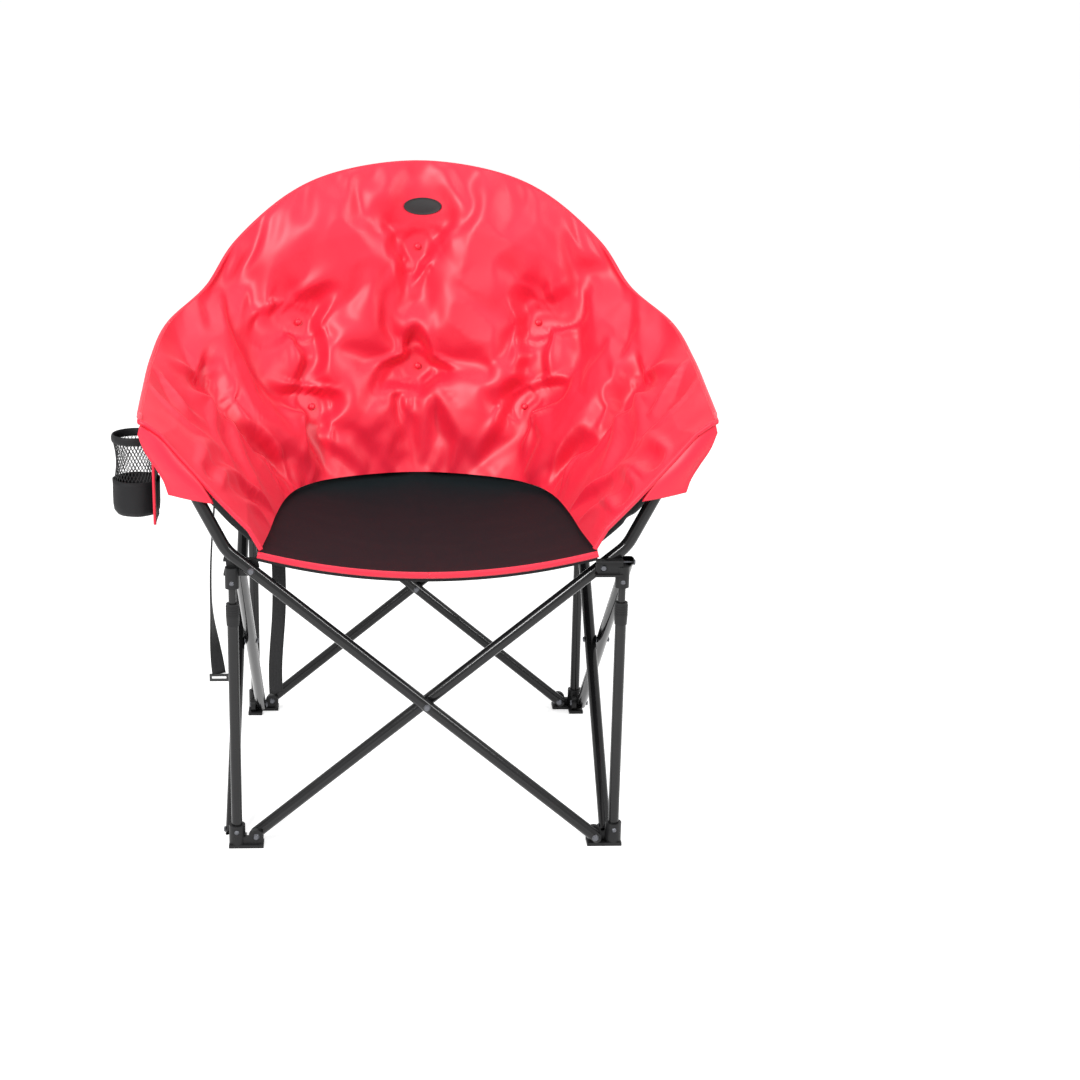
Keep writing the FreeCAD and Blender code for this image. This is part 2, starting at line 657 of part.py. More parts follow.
def make_cup_flap():
    """Hanging cloth panel between the arm and the cup holder."""
    flap_x = CUP_CENTRE.x + CUP_R + SOFT_GAP
    low = Vector(flap_x, CUP_CENTRE.y - FLAP_HALF_WIDTH, FLAP_BOTTOM_Z)
    high = Vector(flap_x + FLAP_THICKNESS, CUP_CENTRE.y + FLAP_HALF_WIDTH, FLAP_TOP_Z)
    return slab(low, high)


# Routes of the two free straps, from their sewn ends downward
TIE_STRAP_ROUTE = [
    Vector(-303, -222, 527), Vector(-305, -224, 496), Vector(-309, -226, 455), Vector(-312, -227, 400),
    Vector(-312, -226, 345), Vector(-308, -225, 295), Vector(-303, -224, 252),
]
LONG_STRAP_ROUTE = [
    Vector(-214, -222, 427), Vector(-213, -223, 392), Vector(-214, -224, 345), Vector(-218, -225, 298),
    Vector(-221, -225, 255), Vector(-220, -224, 222),
]
BUCKLE_SIZE = (28.0, 11.0, 3.4)


def make_strap(route):
    """Flat webbing along a route: straight runs joined by the largest tangent arcs."""
    edges = []
    start = route[0]
    radii = []
    for before, corner, after in zip(route, route[1:], route[2:]):
        way_in = (corner - before).normalize()
        way_out = (after - corner).normalize()
        setback = ARC_SHARE * min((corner - before).Length, (after - corner).Length)
        turn = way_in.getAngle(way_out)
        radius = setback / math.tan(turn / 2)
        radii.append(round(radius))
        arc_start = corner - way_in * setback
        arc_end = corner + way_out * setback
        bisector = (way_out - way_in).normalize()
        centre = corner + bisector * (radius / math.cos(turn / 2))
        edges.append(Part.LineSegment(start, arc_start).toShape())
        edges.append(Part.Arc(arc_start, centre - bisector * radius, arc_end).toShape())
        start = arc_end
    edges.append(Part.LineSegment(start, route[-1]).toShape())
    path = Part.Wire(edges)
    half_width = WEBBING_WIDTH / 2
    half_thick = WEBBING_THICKNESS / 2
    first = (route[1] - route[0]).normalize()
    across = Vector(0, 1, 0)
    across = (across - first * across.dot(first)).normalize()
    through = first.cross(across)
    corners = [route[0] + across * a * half_width + through * b * half_thick
               for a, b in ((-1, -1), (1, -1), (1, 1), (-1, 1))]
    strap = path.makePipeShell([Part.makePolygon(corners + corners[:1])], True, False)
    filled = strap.Volume / (WEBBING_WIDTH * WEBBING_THICKNESS * path.Length)
    print("strap length", round(path.Length, 1), "volume ratio", round(filled, 3), "radii", radii)
    return strap


def make_buckle(route):
    """Rectangular wire loop sewn to the end of the tie strap."""
    width, height, wire = BUCKLE_SIZE
    middle = route[-1] - UP * (SOFT_GAP + height / 2)
    outer_half = Vector(width / 2, wire / 2, height / 2)
    inner_half = Vector(width / 2 - wire, wire, height / 2 - wire)
    return slab(middle - outer_half, middle + outer_half).cut(slab(middle - inner_half, middle + inner_half))


def half_turned(shape):
    """A copy turned half round the chair's upright axis."""
    turned = shape.copy()
    turned.rotate(Vector(0, 0, 0), UP, 180)
    return turned


def build():
    """Every piece of the chair, by name."""
    front, rear = Vector(0, -1, 0), Vector(0, 1, 0)
    left, right = Vector(-1, 0, 0), Vector(1, 0, 0)
    arm = (ARM_LEAN_DEG, ARM_LENGTH)
    back = (BACK_LEAN_DEG, BACK_LENGTH)
    pieces = {}
    for name in CORNERS:
        corner_pieces = {
            "foot": make_foot(name),
            "foot_rivets": make_corner_pins(name, "foot"),
            "leg_tube": make_leg(name),
            "leg_collar": make_collar(name),
            "leg_slider": make_slider(name),
            "hub": make_hub(name),
            "hub_rivets": make_corner_pins(name, "hub"),
        }
        for piece, shape in corner_pieces.items():
            pieces[name + "_" + piece] = shape
            pieces[OPPOSITE[name] + "_" + piece] = half_turned(shape)
    upper_tubes = {
        "right_arm_tube": (front, INNER, True) + arm,
        "left_arm_tube": (front, OUTER, False) + arm,
        "right_back_tube": (rear, OUTER, True) + back,
        "left_back_tube": (rear, INNER, False) + back,
    }
    for name, values in upper_tubes.items():
        pieces[name] = make_scissor(*values)
    pieces["left_side_tube_outer"] = make_scissor(left, OUTER, True)
    pieces["left_side_tube_inner"] = make_scissor(left, INNER, False)
    pieces["right_side_tube_inner"] = make_scissor(right, INNER, True)
    pieces["right_side_tube_outer"] = make_scissor(right, OUTER, False)
    for name, across in (("front", front), ("rear", rear), ("left", left), ("right", right)):
        pieces[name + "_cross_rivet"] = make_cross_rivet(across)
    pieces["back_pad"] = make_back_pad()
    pieces["left_arm_pad"] = make_arm_pad(False)
    pieces["right_arm_pad"] = make_arm_pad(True)
    pieces["back_tuft_buttons"] = make_tuft_buttons()
    pieces["back_badge"] = make_badge()
    for name, sign in (("left", -1), ("right", 1)):
        pieces["seat_panel_" + name] = make_seat_half(sign)
        pieces["seat_binding_" + name] = make_seat_binding(sign)
    pieces["left_arm_sleeve"] = make_arm_sleeve(-1, OUTER)
    pieces["right_arm_sleeve"] = make_arm_sleeve(1, INNER)
    pieces["left_back_pocket"] = make_back_pocket(-1, INNER)
    pieces["right_back_pocket"] = make_back_pocket(1, OUTER)
    pieces["cup_holder_band"] = make_cup_band()
    pieces["cup_holder_net"] = make_cup_net()
    pieces["cup_holder_base"] = make_cup_base()
    pieces["cup_holder_flap"] = make_cup_flap()
    pieces["tie_strap"] = make_strap(TIE_STRAP_ROUTE)
    pieces["tie_strap_buckle"] = make_buckle(TIE_STRAP_ROUTE)
    pieces["long_strap"] = make_strap(LONG_STRAP_ROUTE)
    return pieces


os.makedirs("parts", exist_ok=True)
for node, shape in build().items():
    print(node, "valid" if shape.isValid() else "INVALID", len(shape.Solids), round(shape.Volume))
    shape.exportStep("parts/" + node + ".step")
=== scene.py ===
"""Looks of a padded folding camping chair: cloth, padding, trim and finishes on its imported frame."""

import json
import math

import bpy
import numpy as np
from bpy.props import FloatProperty, FloatVectorProperty, IntProperty, PointerProperty
from bpy.types import Operator, Panel, PropertyGroup
from mathutils import Matrix, Vector, noise


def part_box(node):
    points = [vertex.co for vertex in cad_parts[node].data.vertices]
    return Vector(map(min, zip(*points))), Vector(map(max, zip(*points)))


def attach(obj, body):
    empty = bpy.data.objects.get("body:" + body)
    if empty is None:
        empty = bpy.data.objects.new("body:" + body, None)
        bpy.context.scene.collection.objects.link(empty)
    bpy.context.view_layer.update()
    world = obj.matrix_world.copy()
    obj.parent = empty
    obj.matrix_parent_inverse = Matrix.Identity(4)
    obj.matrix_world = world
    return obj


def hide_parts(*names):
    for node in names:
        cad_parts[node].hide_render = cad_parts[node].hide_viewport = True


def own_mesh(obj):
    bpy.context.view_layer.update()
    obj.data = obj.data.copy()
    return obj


bl_info = {
    "name": "Padded Folding Camping Chair",
    "version": (1, 0, 0),
    "blender": (4, 5, 0),
    "location": "View3D > Sidebar > Camping Chair",
    "description": "Builds the cloth, padding, trim and finishes of a folding camping chair on its frame",
    "category": "Object",
}

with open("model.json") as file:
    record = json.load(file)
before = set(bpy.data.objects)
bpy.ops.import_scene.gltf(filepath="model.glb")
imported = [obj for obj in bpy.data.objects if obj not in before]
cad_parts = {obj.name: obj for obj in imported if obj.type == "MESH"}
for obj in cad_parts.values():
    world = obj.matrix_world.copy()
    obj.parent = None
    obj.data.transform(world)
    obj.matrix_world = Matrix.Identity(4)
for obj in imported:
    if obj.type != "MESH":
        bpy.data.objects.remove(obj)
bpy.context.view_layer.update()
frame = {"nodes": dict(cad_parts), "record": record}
UPWARD = (0.0, 0.0, 1.0)
# Steps per given point when a smooth curve is measured
CURVE_STEPS = 40

# The photograph's camera: place, turn from straight ahead, and focal length in pixels of a square image
IMAGE_SIDE = 1080
CAMERA_PLACE = (-0.0945, -2.9238, 1.2714)
CAMERA_YAW = 0.0313
CAMERA_PITCH = 0.283
CAMERA_ROLL = 0.0068
CAMERA_FOCAL_PIXELS = 1958.2
CAMERA_CENTRE_PIXELS = (420, 520)
SENSOR_WIDTH = 36.0

# Lamps: name, place, width and height, power in watts
LAMPS = [
    ("key_lamp", (-1.7, -2.2, 2.4), (0.4, 1.6), 92.0),
    ("fill_lamp", (2.1, -1.4, 2.3), (0.3, 1.6), 40.0),
    ("top_lamp", (0.2, 0.6, 3.0), (2.0, 2.0), 18.0),
]
LAMP_AIM = (0.0, 0.0, 0.5)
SURROUND_LIGHT = 0.42
FLOOR_GLOW = 0.62
FLOOR_REACH = 400.0
FLOOR_ROUGHNESS = 0.9
FLOOR_GLOSS = 0.1

# Cuts through the left half of the bucket, from the middle of the back round to the front of the arm:
# seat seam, rim, how far the cut bows outward and the way outward
CUTS = [
    ((0.000, 0.222, 0.440), (0.000, 0.330, 0.937), 0.022, (0.0, 1.0, 0.0)),
    ((-0.075, 0.208, 0.440), (-0.122, 0.320, 0.922), 0.026, (-0.3, 1.0, 0.0)),
    ((-0.150, 0.168, 0.441), (-0.212, 0.303, 0.885), 0.028, (-0.6, 1.0, 0.0)),
    ((-0.188, 0.122, 0.442), (-0.297, 0.277, 0.813), 0.028, (-0.9, 1.0, 0.0)),
    ((-0.206, 0.074, 0.444), (-0.344, 0.236, 0.745), 0.024, (-1.0, 0.8, 0.0)),
    ((-0.219, 0.010, 0.446), (-0.396, 0.122, 0.707), 0.016, (-1.0, 0.35, 0.0)),
    ((-0.228, -0.080, 0.448), (-0.410, 0.000, 0.677), 0.010, (-1.0, 0.1, 0.0)),
    ((-0.233, -0.170, 0.450), (-0.408, -0.150, 0.656), 0.006, (-1.0, 0.0, 0.0)),
    ((-0.240, -0.284, 0.457), (-0.403, -0.284, 0.642), 0.004, (-1.0, 0.0, 0.0)),
]
MIDDLE_CUT = len(CUTS) - 1
# Where the arm wings meet the back, in cuts from the middle
SPLIT_CUT = 5
# Tufts, in cuts from the middle and shares of the height
TUFTS = [(0, 0.345), (0, 0.73), (-2, 0.263), (-2, 0.56), (2, 0.263), (2, 0.56)]
# Pulls that hold the wings to the frame behind, with no button
PULLS = [(-5, 0.6), (5, 0.6)]
# Folds in the quilt, by the tuft, pull or edge where each is deepest: the two places through which it
# runs out, each in cuts from the middle and share of the height
FOLDS = {
    (0, 0.73): [(-0.25, 0.80, -0.40, 0.93), (0.30, 0.82, 0.45, 0.93), (-0.35, 0.62, -0.60, 0.44),
                (-0.50, 0.71, -0.90, 0.66), (0.35, 0.73, 0.60, 0.65)],
    (0, 0.345): [(0.03, 0.45, 0.0, 0.58), (-0.50, 0.25, -1.0, 0.07), (0.40, 0.22, 0.80, 0.07),
                 (-0.80, 0.29, -1.60, 0.24), (0.60, 0.29, 1.50, 0.28)],
    (-2, 0.56): [(-2.2, 0.66, -2.3, 0.80), (-2.5, 0.60, -3.0, 0.57), (-1.5, 0.64, -0.9, 0.70),
                 (-1.85, 0.42, -1.95, 0.28)],
    (-2, 0.263): [(-1.4, 0.25, -0.9, 0.30), (-2.3, 0.14, -2.6, 0.02), (-2.8, 0.32, -3.6, 0.42)],
    (2, 0.56): [(1.9, 0.68, 2.0, 0.82), (2.5, 0.67, 2.9, 0.76), (1.4, 0.63, 0.7, 0.61),
                (2.05, 0.42, 2.0, 0.28)],
    (2, 0.263): [(1.7, 0.31, 1.2, 0.33), (1.8, 0.14, 1.7, 0.02), (2.9, 0.36, 3.8, 0.40)],
    (-5, 0.6): [(-5.5, 0.72, -6.0, 0.86), (-4.6, 0.74, -4.4, 0.90), (-4.6, 0.60, -4.0, 0.55),
                (-5.0, 0.42, -4.8, 0.24), (-5.8, 0.46, -6.6, 0.20)],
    (-6.5, 1.0): [(-6.7, 0.75, -6.4, 0.50)],
    (-7.7, 0.50): [(-7.2, 0.50, -6.6, 0.40)],
    (-6.4, 0.0): [(-6.9, 0.25, -7.5, 0.40)],
    (-4.4, 0.0): [(-4.5, 0.20, -4.9, 0.36)],
    (5, 0.6): [(5.6, 0.74, 6.2, 0.84), (4.6, 0.74, 4.3, 0.88), (4.5, 0.56, 3.9, 0.55),
               (5.2, 0.42, 5.0, 0.22), (6.0, 0.52, 6.8, 0.26)],
    (6.3, 1.0): [(6.6, 0.72, 6.4, 0.52)],
    (7.7, 0.58): [(7.2, 0.54, 6.5, 0.46)],
    (7.7, 0.34): [(7.3, 0.34, 6.8, 0.30)],
    (6.2, 0.0): [(6.8, 0.22, 7.4, 0.34)],
    (4.3, 0.0): [(4.5, 0.22, 4.8, 0.40)],
}
FOLD_STEPS = 40
# How a fold fades as it runs out, the share of its width at the deep end, and the ridges beside it: height
# as a share of the fold's depth, and distance in fold widths
FOLD_FADE = 0.8
FOLD_NARROW = 0.6
RIDGE_HEIGHT = 0.5
RIDGE_PLACE = 1.9

# The body that carries each stretch of cloth and the way it is drawn together
FOLD_RIDES = {
    "left": ("left_arm_tube", (0, 1, 0)),
    "back": ("rear_left_hub", (1, 0, 0)),
    "right": ("right_arm_tube", (0, 1, 0)),
    "seat_left": ("seat_left", (0, 1, 0)),
    "seat_right": ("seat_right", (0, 1, 0)),
}

# Quilt: share of the height where its columns are evenly spaced, steps to measure it there, how steeply
# its padding rises from the edges, reach of a tuft's dent, the spot that a tuft holds, the least depth that
# a fold may use, and the fine unevenness that starts its wrinkles
BELT_SHARE = 0.55
BELT_STEPS = 4001
PADDING_RISE = 1.6
TUFT_REACH = 0.045
TUFT_HOLD = 0.006
LEAST_SPARE = 0.001
SEED_RELIEF = 0.0012
SEED_SCALE = 60.0
# Cuts from the middle where the arm wings' cloth begins to be drawn tighter, and over which it becomes so
ARM_DRAW_FROM = 4.2
ARM_DRAW_OVER = 1.2
# Columns over which the arm wings thin out to their front seams
FRONT_COLUMNS = 10
# How steeply the folds come in from the seam and the rim
FOLD_EDGE_RISE = 6
# Rounds of smoothing after the cloth settles, and how far settling may carry it
BACK_SMOOTHING = 2
ARM_SMOOTHING = 14
QUILT_MOVE_CAP = 0.030
# The lining follows this share of the folds in front of it, up to a limit
LINING_FOLLOW = 0.5
LINING_LIMIT = 0.006
LINING_SMOOTHING = 40
# In front of this place the lining closes up to the quilt's face, over the arm tube
LINING_CLOSE_Y = -0.246
LINING_CLOSE_OVER = 0.012
LINING_CLOSE_GAP = 0.004
# Place of the blank oval patch, in cuts from the middle and share of the height, and the calm cloth round it
BADGE_PLACE = (0.06, 0.862)
BADGE_CALM = 0.044

# Cloth simulations: what both cloths share, each cloth, and the frames in which it is drawn in and settles
CLOTH_SPRINGS = {
    "air_damping": 2.0, "bending_damping": 1.0,
    "tension_stiffness": 20, "compression_stiffness": 20, "shear_stiffness": 10,
    "tension_damping": 10, "compression_damping": 10, "shear_damping": 10,
}
QUILT_CLOTH = {
    **CLOTH_SPRINGS, "quality": 6, "mass": 0.15, "bending_stiffness": 6.0, "bending_stiffness_max": 16.0,
    "use_pressure": True, "uniform_pressure_force": 3.0,
}
QUILT_CLOSING = 14
QUILT_FRAMES = 30
SEAT_CLOTH = {**CLOTH_SPRINGS, "quality": 5, "mass": 0.3, "bending_stiffness": 2.0}
SEAT_CLOSING = 10
SEAT_FRAMES = 24
SEAT_GRAVITY = 0.6

# Seat panel: points each way, steps and stride of its measured edge, front edge, heights from front to
# back as share of the way and drop of the middle below the sides, spare cloth, and how far its edge runs
# under the quilt
SEAT_COLUMNS = 71
SEAT_ROWS = 56
SEAT_EDGE_STEPS = 400
SEAT_EDGE_STRIDE = 8
SEAT_FRONT_Y = -0.286
SEAT_DROPS = [(0.0, 0.031), (0.35, 0.025), (0.7, 0.012), (1.0, 0.0)]
SEAT_SLACK = 0.012
SEAT_SMOOTHING = 4
SEAT_TUCK = 0.012
SEAT_TUCK_TURN = 0.2
SEAT_BELOW_SEAM = 0.001
SEAT_BACK_HALF = 0.004
SEAT_BINDING_DEPTH = 0.004
SEAT_BINDING_CORNERS = 16
SEAT_BINDING_SHIFT = 0.002

# Front edge of the left arm sleeve, from the tube's entry to the tip: seam side and outer side as X and Z
SLEEVE_CUTS = [
    ((-0.300, 0.530), (-0.362, 0.543)),
    ((-0.318, 0.560), (-0.368, 0.562)),
    ((-0.345, 0.592), (-0.379, 0.582)),
    ((-0.371, 0.622), (-0.393, 0.605)),
    ((-0.399, 0.641), (-0.402, 0.629)),
]
SLEEVE_RINGS = 40
SLEEVE_FRONT_Y = -0.285
SLEEVE_BACK_Y = -0.246
SLEEVE_CLEARANCE = 0.0035
SLEEVE_BULGE = 0.008
SLEEVE_BULGE_START = 0.15
SLEEVE_BULGE_RINGS = 46
SLEEVE_ROLL = 0.004
# One ring of a sleeve: points of its front, where that stands proudest, how proud its outer edge is, shares
# of the way back along the outer edge, and shares across the back
SLEEVE_FRONT_POINTS = 15
SLEEVE_CROWN_PLACE = 0.45
SLEEVE_EDGE_CROWN = 0.1
SLEEVE_ROLL_SHARES = (0.12, 0.3, 0.5, 0.7, 0.9)
SLEEVE_BACK_SHARES = np.linspace(1, 0.1, 9)

# Piping on the arms' front seams stops this many points below the rim
PIPING_STOP = 4
# Tuft button: its profile as shares of the radius, wide and high, its lift off the cloth, and the points
# round it, each way, that set its direction
BUTTON_PROFILE = [
    (0.15, 0.0), (0.85, 0.0), (1.0, 0.28), (0.95, 0.52), (0.7, 0.74), (0.35, 0.84), (0.1, 0.86),
]
BUTTON_LIFT = 0.0015
BUTTON_CORNERS = 20
BUTTON_WINDOW = (2, 2)
POINT_GAP = 1e-5
# Blank oval patch: rings from the hidden skirt over the edge to the middle, as share of its size and lift,
# and the quilt's points round it, each way, that set its direction and its curve
BADGE_RINGS = [(0.995, -0.0060), (1.0, 0.0004), (0.985, 0.0014), (0.955, 0.0017), (0.925, 0.0012),
               (0.89, 0.0010), (0.7, 0.0013), (0.45, 0.0016), (0.2, 0.0018)]
BADGE_CORNERS = 72
BADGE_WINDOW = (8, 5)
BADGE_CURVE_WINDOW = (11, 7)
# Back pockets: radius, lean of the tube inside, swell from the mouth to the closed top, and the cloth that
# joins them to the lining
POCKET_RADIUS = 0.0125
POCKET_CORNERS = 20
POCKET_INSET = 0.011
POCKET_LEAN = math.radians(9.3)
POCKET_SWELL = [1.08] + [1.0] * 11 + [0.99, 0.95, 0.82, 0.5]
POCKET_WEB_POINTS = 8
POCKET_WEB_SMOOTHING = 3
BACK_TUBE_RADIUS = 0.009

# Cup holder: hoop section and the gap where it closes, turn of a net thread, how far the net draws in, slack
# of the base, its profile as share of the radius and height, and how the flap is set into its box
HOOP_SECTION = (0.0022, 0.006)
HOOP_INSET = 0.002
HOOP_GAP = 1e-4
NET_POINTS = 13
NET_CORNERS = 5
NET_TURN = 1.05
NET_INSET = 0.0025
NET_WAIST = 0.004
NET_LAYER = 0.0003
NET_INTO_BASE = 0.004
NET_INTO_BAND = 0.003
CUP_CORNERS = 64
CUP_SLACK = 0.03
CUP_SLACK_SCALE = (2, 30)
CUP_BASE_PROFILE = [
    (0.02, 0.0), (0.5, -0.001), (0.85, 0.001), (0.97, 0.007), (1.0, 0.016), (0.995, 0.03), (0.985, 0.045),
    (1.0, 0.052), (0.94, 0.052), (0.93, 0.03), (0.88, 0.006), (0.5, 0.004), (0.02, 0.004),
]
FLAP_LOW_SHIFT = (-0.006, 0.020, 0.0)
FLAP_HIGH_SHIFT = (-0.006, -0.050, 0.0)
FLAP_POINTS = 24
FLAP_WAVE = 0.0015
FLAP_WAVE_SCALE = (18, 12)
FLAP_PIPING_RADIUS = 0.0022
FLAP_PIPING_SHIFT = 0.001

# Webbing routes: degree of their smooth line plus one, its steps per point, and points from the top down
ROUTE_ORDER = 3
ROUTE_STEPS = 12
TIE_STRAP_ROUTE = [
    (-0.303, -0.222, 0.527), (-0.305, -0.224, 0.496), (-0.309, -0.226, 0.455), (-0.312, -0.227, 0.400),
    (-0.312, -0.226, 0.345), (-0.308, -0.225, 0.295), (-0.303, -0.224, 0.252),
]
LONG_STRAP_ROUTE = [
    (-0.214, -0.222, 0.427), (-0.213, -0.223, 0.392), (-0.214, -0.224, 0.345), (-0.218, -0.225, 0.298),
    (-0.221, -0.225, 0.255), (-0.220, -0.224, 0.222),
]
# Straps: name, route, body, far end, fittings, and the share of the length where the webbing starts to twist
STRAPS = [
    ("tie_strap", TIE_STRAP_ROUTE, "tie_strap", "fitting", ["tie_strap_buckle"], 0.6),
    ("long_strap", LONG_STRAP_ROUTE, "front_left_hub", "bare", [], -1.0),
]
TWIST = math.radians(80)
TWIST_OVER = 0.4
# Half of the webbing's section, as shares of its half width and half thickness
WEBBING_HALF_SECTION = [(-1, -0.5), (-0.97, -1), (-0.5, -1), (0, -1), (0.5, -1), (0.97, -1), (1, -0.5)]

# Cloths: name, colour, colour where the weave is closer, roughness, sheen, thread spacing, relief, gloss
CLOTHS = {
    # Satin red of the quilt: bright, with soft highlights on every fold
    "red_polyester": ("red satin polyester", "red", "red_deep", 0.44, 0.12, 0.0011, 0.12, 0.5),
    # Red trim: the same cloth cut on the bias, a little duller
    "red_binding": ("red bias binding", "trim", "red_deep", 0.5, 0.2, 0.0011, 0.25, 0.5),
    # Black seat cloth: a plain, dull weave
    "black_polyester": ("black seat polyester", "seat", "seat", 0.6, 0.0, 0.0012, 0.3, 0.1),
    # Black lining: a little paler and duller than the seat
    "lining": ("black lining polyester", "lining", "webbing", 0.66, 0.03, 0.0012, 0.25, 0.25),
    # Woven strap: a coarse, deep weave
    "black_webbing": ("black ribbed webbing", "webbing", "coat", 0.55, 0.05, 0.0022, 0.7, 0.3),
}
# Hard finishes: name, colour, metal, roughness, grain size, relief, gloss
HARD_FINISHES = {
    # Net thread: smooth black polyester
    "black_net": ("black net thread", "webbing", 0.0, 0.45, 0.002, 0.1, 0.5),
    # Powder coat: deep gloss black with a faint orange peel
    "black_powder_coated_steel": ("gloss black powder coat", "coat", 0.0, 0.11, 0.0025, 0.02, 0.32),
    # Moulded plastic: fine spark-eroded texture, half matt
    "moulded_black_plastic": ("moulded black plastic", "plastic", 0.0, 0.42, 0.0012, 0.2, 0.25),
    # Zinc plate: dull grey metal with uneven shine
    "zinc_plated_steel": ("dull zinc plate", "zinc", 1.0, 0.36, 0.002, 0.08, 0.5),
    # Coated wire: smooth black dip coat
    "black_coated_wire": ("black dipped wire", "coat", 0.0, 0.34, 0.003, 0.05, 0.5),
    # Rubber patch: soft dull black
    "black_rubber": ("soft black rubber", "coat", 0.0, 0.58, 0.0015, 0.12, 0.5),
}
# Radians that the wave texture draws per unit of its scale
WAVE_RADIANS = 20
# Slow changes over a cloth panel: scale and detail of the shade, and how far the roughness follows it
SHADE_SCALE = 14.0
SHADE_DETAIL = 4.0
SHADE_SHINE = 0.06
SHEEN_ROUGHNESS = 0.4
# Grain and wear of hard finishes: detail of the grain, scale and detail of the wear, its change of
# roughness, and the gain and lift of the worn colour
GRAIN_DETAIL = 3.0
WEAR_SCALE = 22.0
WEAR_DETAIL = 6.0
WEAR_SHINE = (-0.07, 0.12)
WEAR_GAIN = 1.6
WEAR_LIFT = 0.006


def linear(hex_code):
    """Scene colour of an sRGB hex code."""
    channels = [int(hex_code[i:i + 2], 16) / 255 for i in (0, 2, 4)]
    return tuple(c / 12.92 if c <= 0.04045 else ((c + 0.055) / 1.055) ** 2.4 for c in channels)


def metres(name, description, default):
    """Setting for a length."""
    return FloatProperty(name=name, description=description, default=default, unit="LENGTH")


def portion(name, description, default):
    """Setting for a share of a whole."""
    return FloatProperty(name=name, description=description, default=default, subtype="FACTOR")


def paint(name, description, hex_code):
    """Setting for a colour."""
    return FloatVectorProperty(name=name, description=description, default=linear(hex_code), subtype="COLOR")


class ChairSizes(PropertyGroup):
    """Sizes of the cloth work that a maker would change."""

    cloth_spacing: metres("Cloth spacing", "Distance between the points of the simulated quilt", 0.007)
    quilt_rows: IntProperty(
        name="Quilt rows", description="Points of the simulated quilt from seat seam to rim", default=72)
    quilt_edge: metres("Quilt edge", "Padding at the quilt's sewn edges", 0.006)
    quilt_crown: metres("Quilt crown", "Padding between the seams before the quilt settles", 0.020)
    quilt_front: metres("Quilt front", "Padding at the front seams of the arms", 0.015)
    tuft_depth: metres("Tuft depth", "Padding left under a tuft", 0.003)
    lining_edge: metres("Lining edge", "Lining's distance from the middle of the quilt at its edges", 0.005)
    lining_crown: metres("Lining crown", "Lining's distance from the middle between the edges", 0.009)
    slack_across: portion("Slack across", "Spare width cut into the quilt's cloth", 0.075)
    slack_up: portion("Slack up", "Spare height cut into the quilt's cloth", 0.04)
    arm_draw: portion("Arm draw", "How much tighter the arm wings' cloth is drawn than the back's", 0.05)
    fold_depth: metres("Fold depth", "Depth of a fold where a tuft pulls it", 0.018)
    fold_width: metres("Fold width", "Half width of a fold", 0.0105)
    piping_radius: metres("Piping radius", "Radius of the piping on the rim", 0.0036)
    binding_radius: metres("Binding radius", "Half height of the seat's bound front edge", 0.0048)
    seat_thickness: metres("Seat thickness", "Thickness of the seat panel", 0.012)
    button_radius: metres("Button radius", "Radius of a tuft's button", 0.0055)
    badge_width: metres("Badge width", "Width of the blank oval patch", 0.062)
    badge_height: metres("Badge height", "Height of the blank oval patch", 0.028)
    net_strands: IntProperty(
        name="Net strands", description="Threads of the cup holder's net in each direction", default=36)
    net_thread: metres("Net thread", "Radius of a thread of the net", 0.0005)
    webbing_width: metres("Webbing width", "Width of the straps", 0.020)
    webbing_thickness: metres("Webbing thickness", "Thickness of the straps", 0.0016)


class ChairColours(PropertyGroup):
    """Colours that a maker would change."""

    red: paint("Red", "Colour of the quilt", "F02A44")
    red_deep: paint("Deep red", "Colour of the quilt where the weave is closer", "E01233")
    trim: paint("Trim", "Colour of piping and binding", "EA2440")
    seat: paint("Seat", "Colour of the seat panel", "0F181B")
    lining: paint("Lining", "Colour of the lining and cup holder", "171719")
    webbing: paint("Webbing", "Colour of the straps", "141416")
    coat: paint("Powder coat", "Colour of the tubes", "0E0E0F")
    plastic: paint("Plastic", "Colour of hubs, feet and collars", "131314")
    zinc: paint("Zinc", "Colour of rivets and screws", "55565A")
    floor: paint("Floor", "Colour of the floor", "F4F4F4")


def sizes():
    """The chair's sizes in this scene."""
    return bpy.context.scene.chair_sizes


def colours():
    """The chair's colours in this scene."""
    return bpy.context.scene.chair_colours


# Curves and grids

def spline(values, places):
    """Smooth curve through evenly numbered values, read at any places."""
    values = np.asarray(values, float)
    first = np.clip(np.floor(places).astype(int), 0, len(values) - 2)
    share = (places - first)[:, None]
    padded = np.vstack([2 * values[0] - values[1], values, 2 * values[-1] - values[-2]])
    p0, p1, p2, p3 = (padded[first + k] for k in range(4))
    square = 2 * p0 - 5 * p1 + 4 * p2 - p3
    cube = 3 * p1 - p0 - 3 * p2 + p3
    return 0.5 * (2 * p1 + (p2 - p0) * share + square * share ** 2 + cube * share ** 3)


def refine(grid):
    """The same surface with twice as many spans each way."""
    columns, rows, _ = grid.shape
    places = np.arange(2 * columns - 1) / 2
    grid = spline(grid.reshape(columns, -1), places).reshape(len(places), rows, 3)
    places_up = np.arange(2 * rows - 1) / 2
    turned = grid.transpose(1, 0, 2).reshape(rows, -1)
    return spline(turned, places_up).reshape(len(places_up), len(places), 3).transpose(1, 0, 2)


def reach_of(vectors):
    """Lengths of vectors."""
    return np.linalg.norm(vectors, axis=-1)


def unit(vectors):
    """Vectors of length one."""
    return vectors / np.maximum(reach_of(vectors), 1e-12)[..., None]


def steps_along(points):
    """Distance along a row of points."""
    return np.concatenate([[0.0], np.cumsum(reach_of(np.diff(points, axis=0)))])


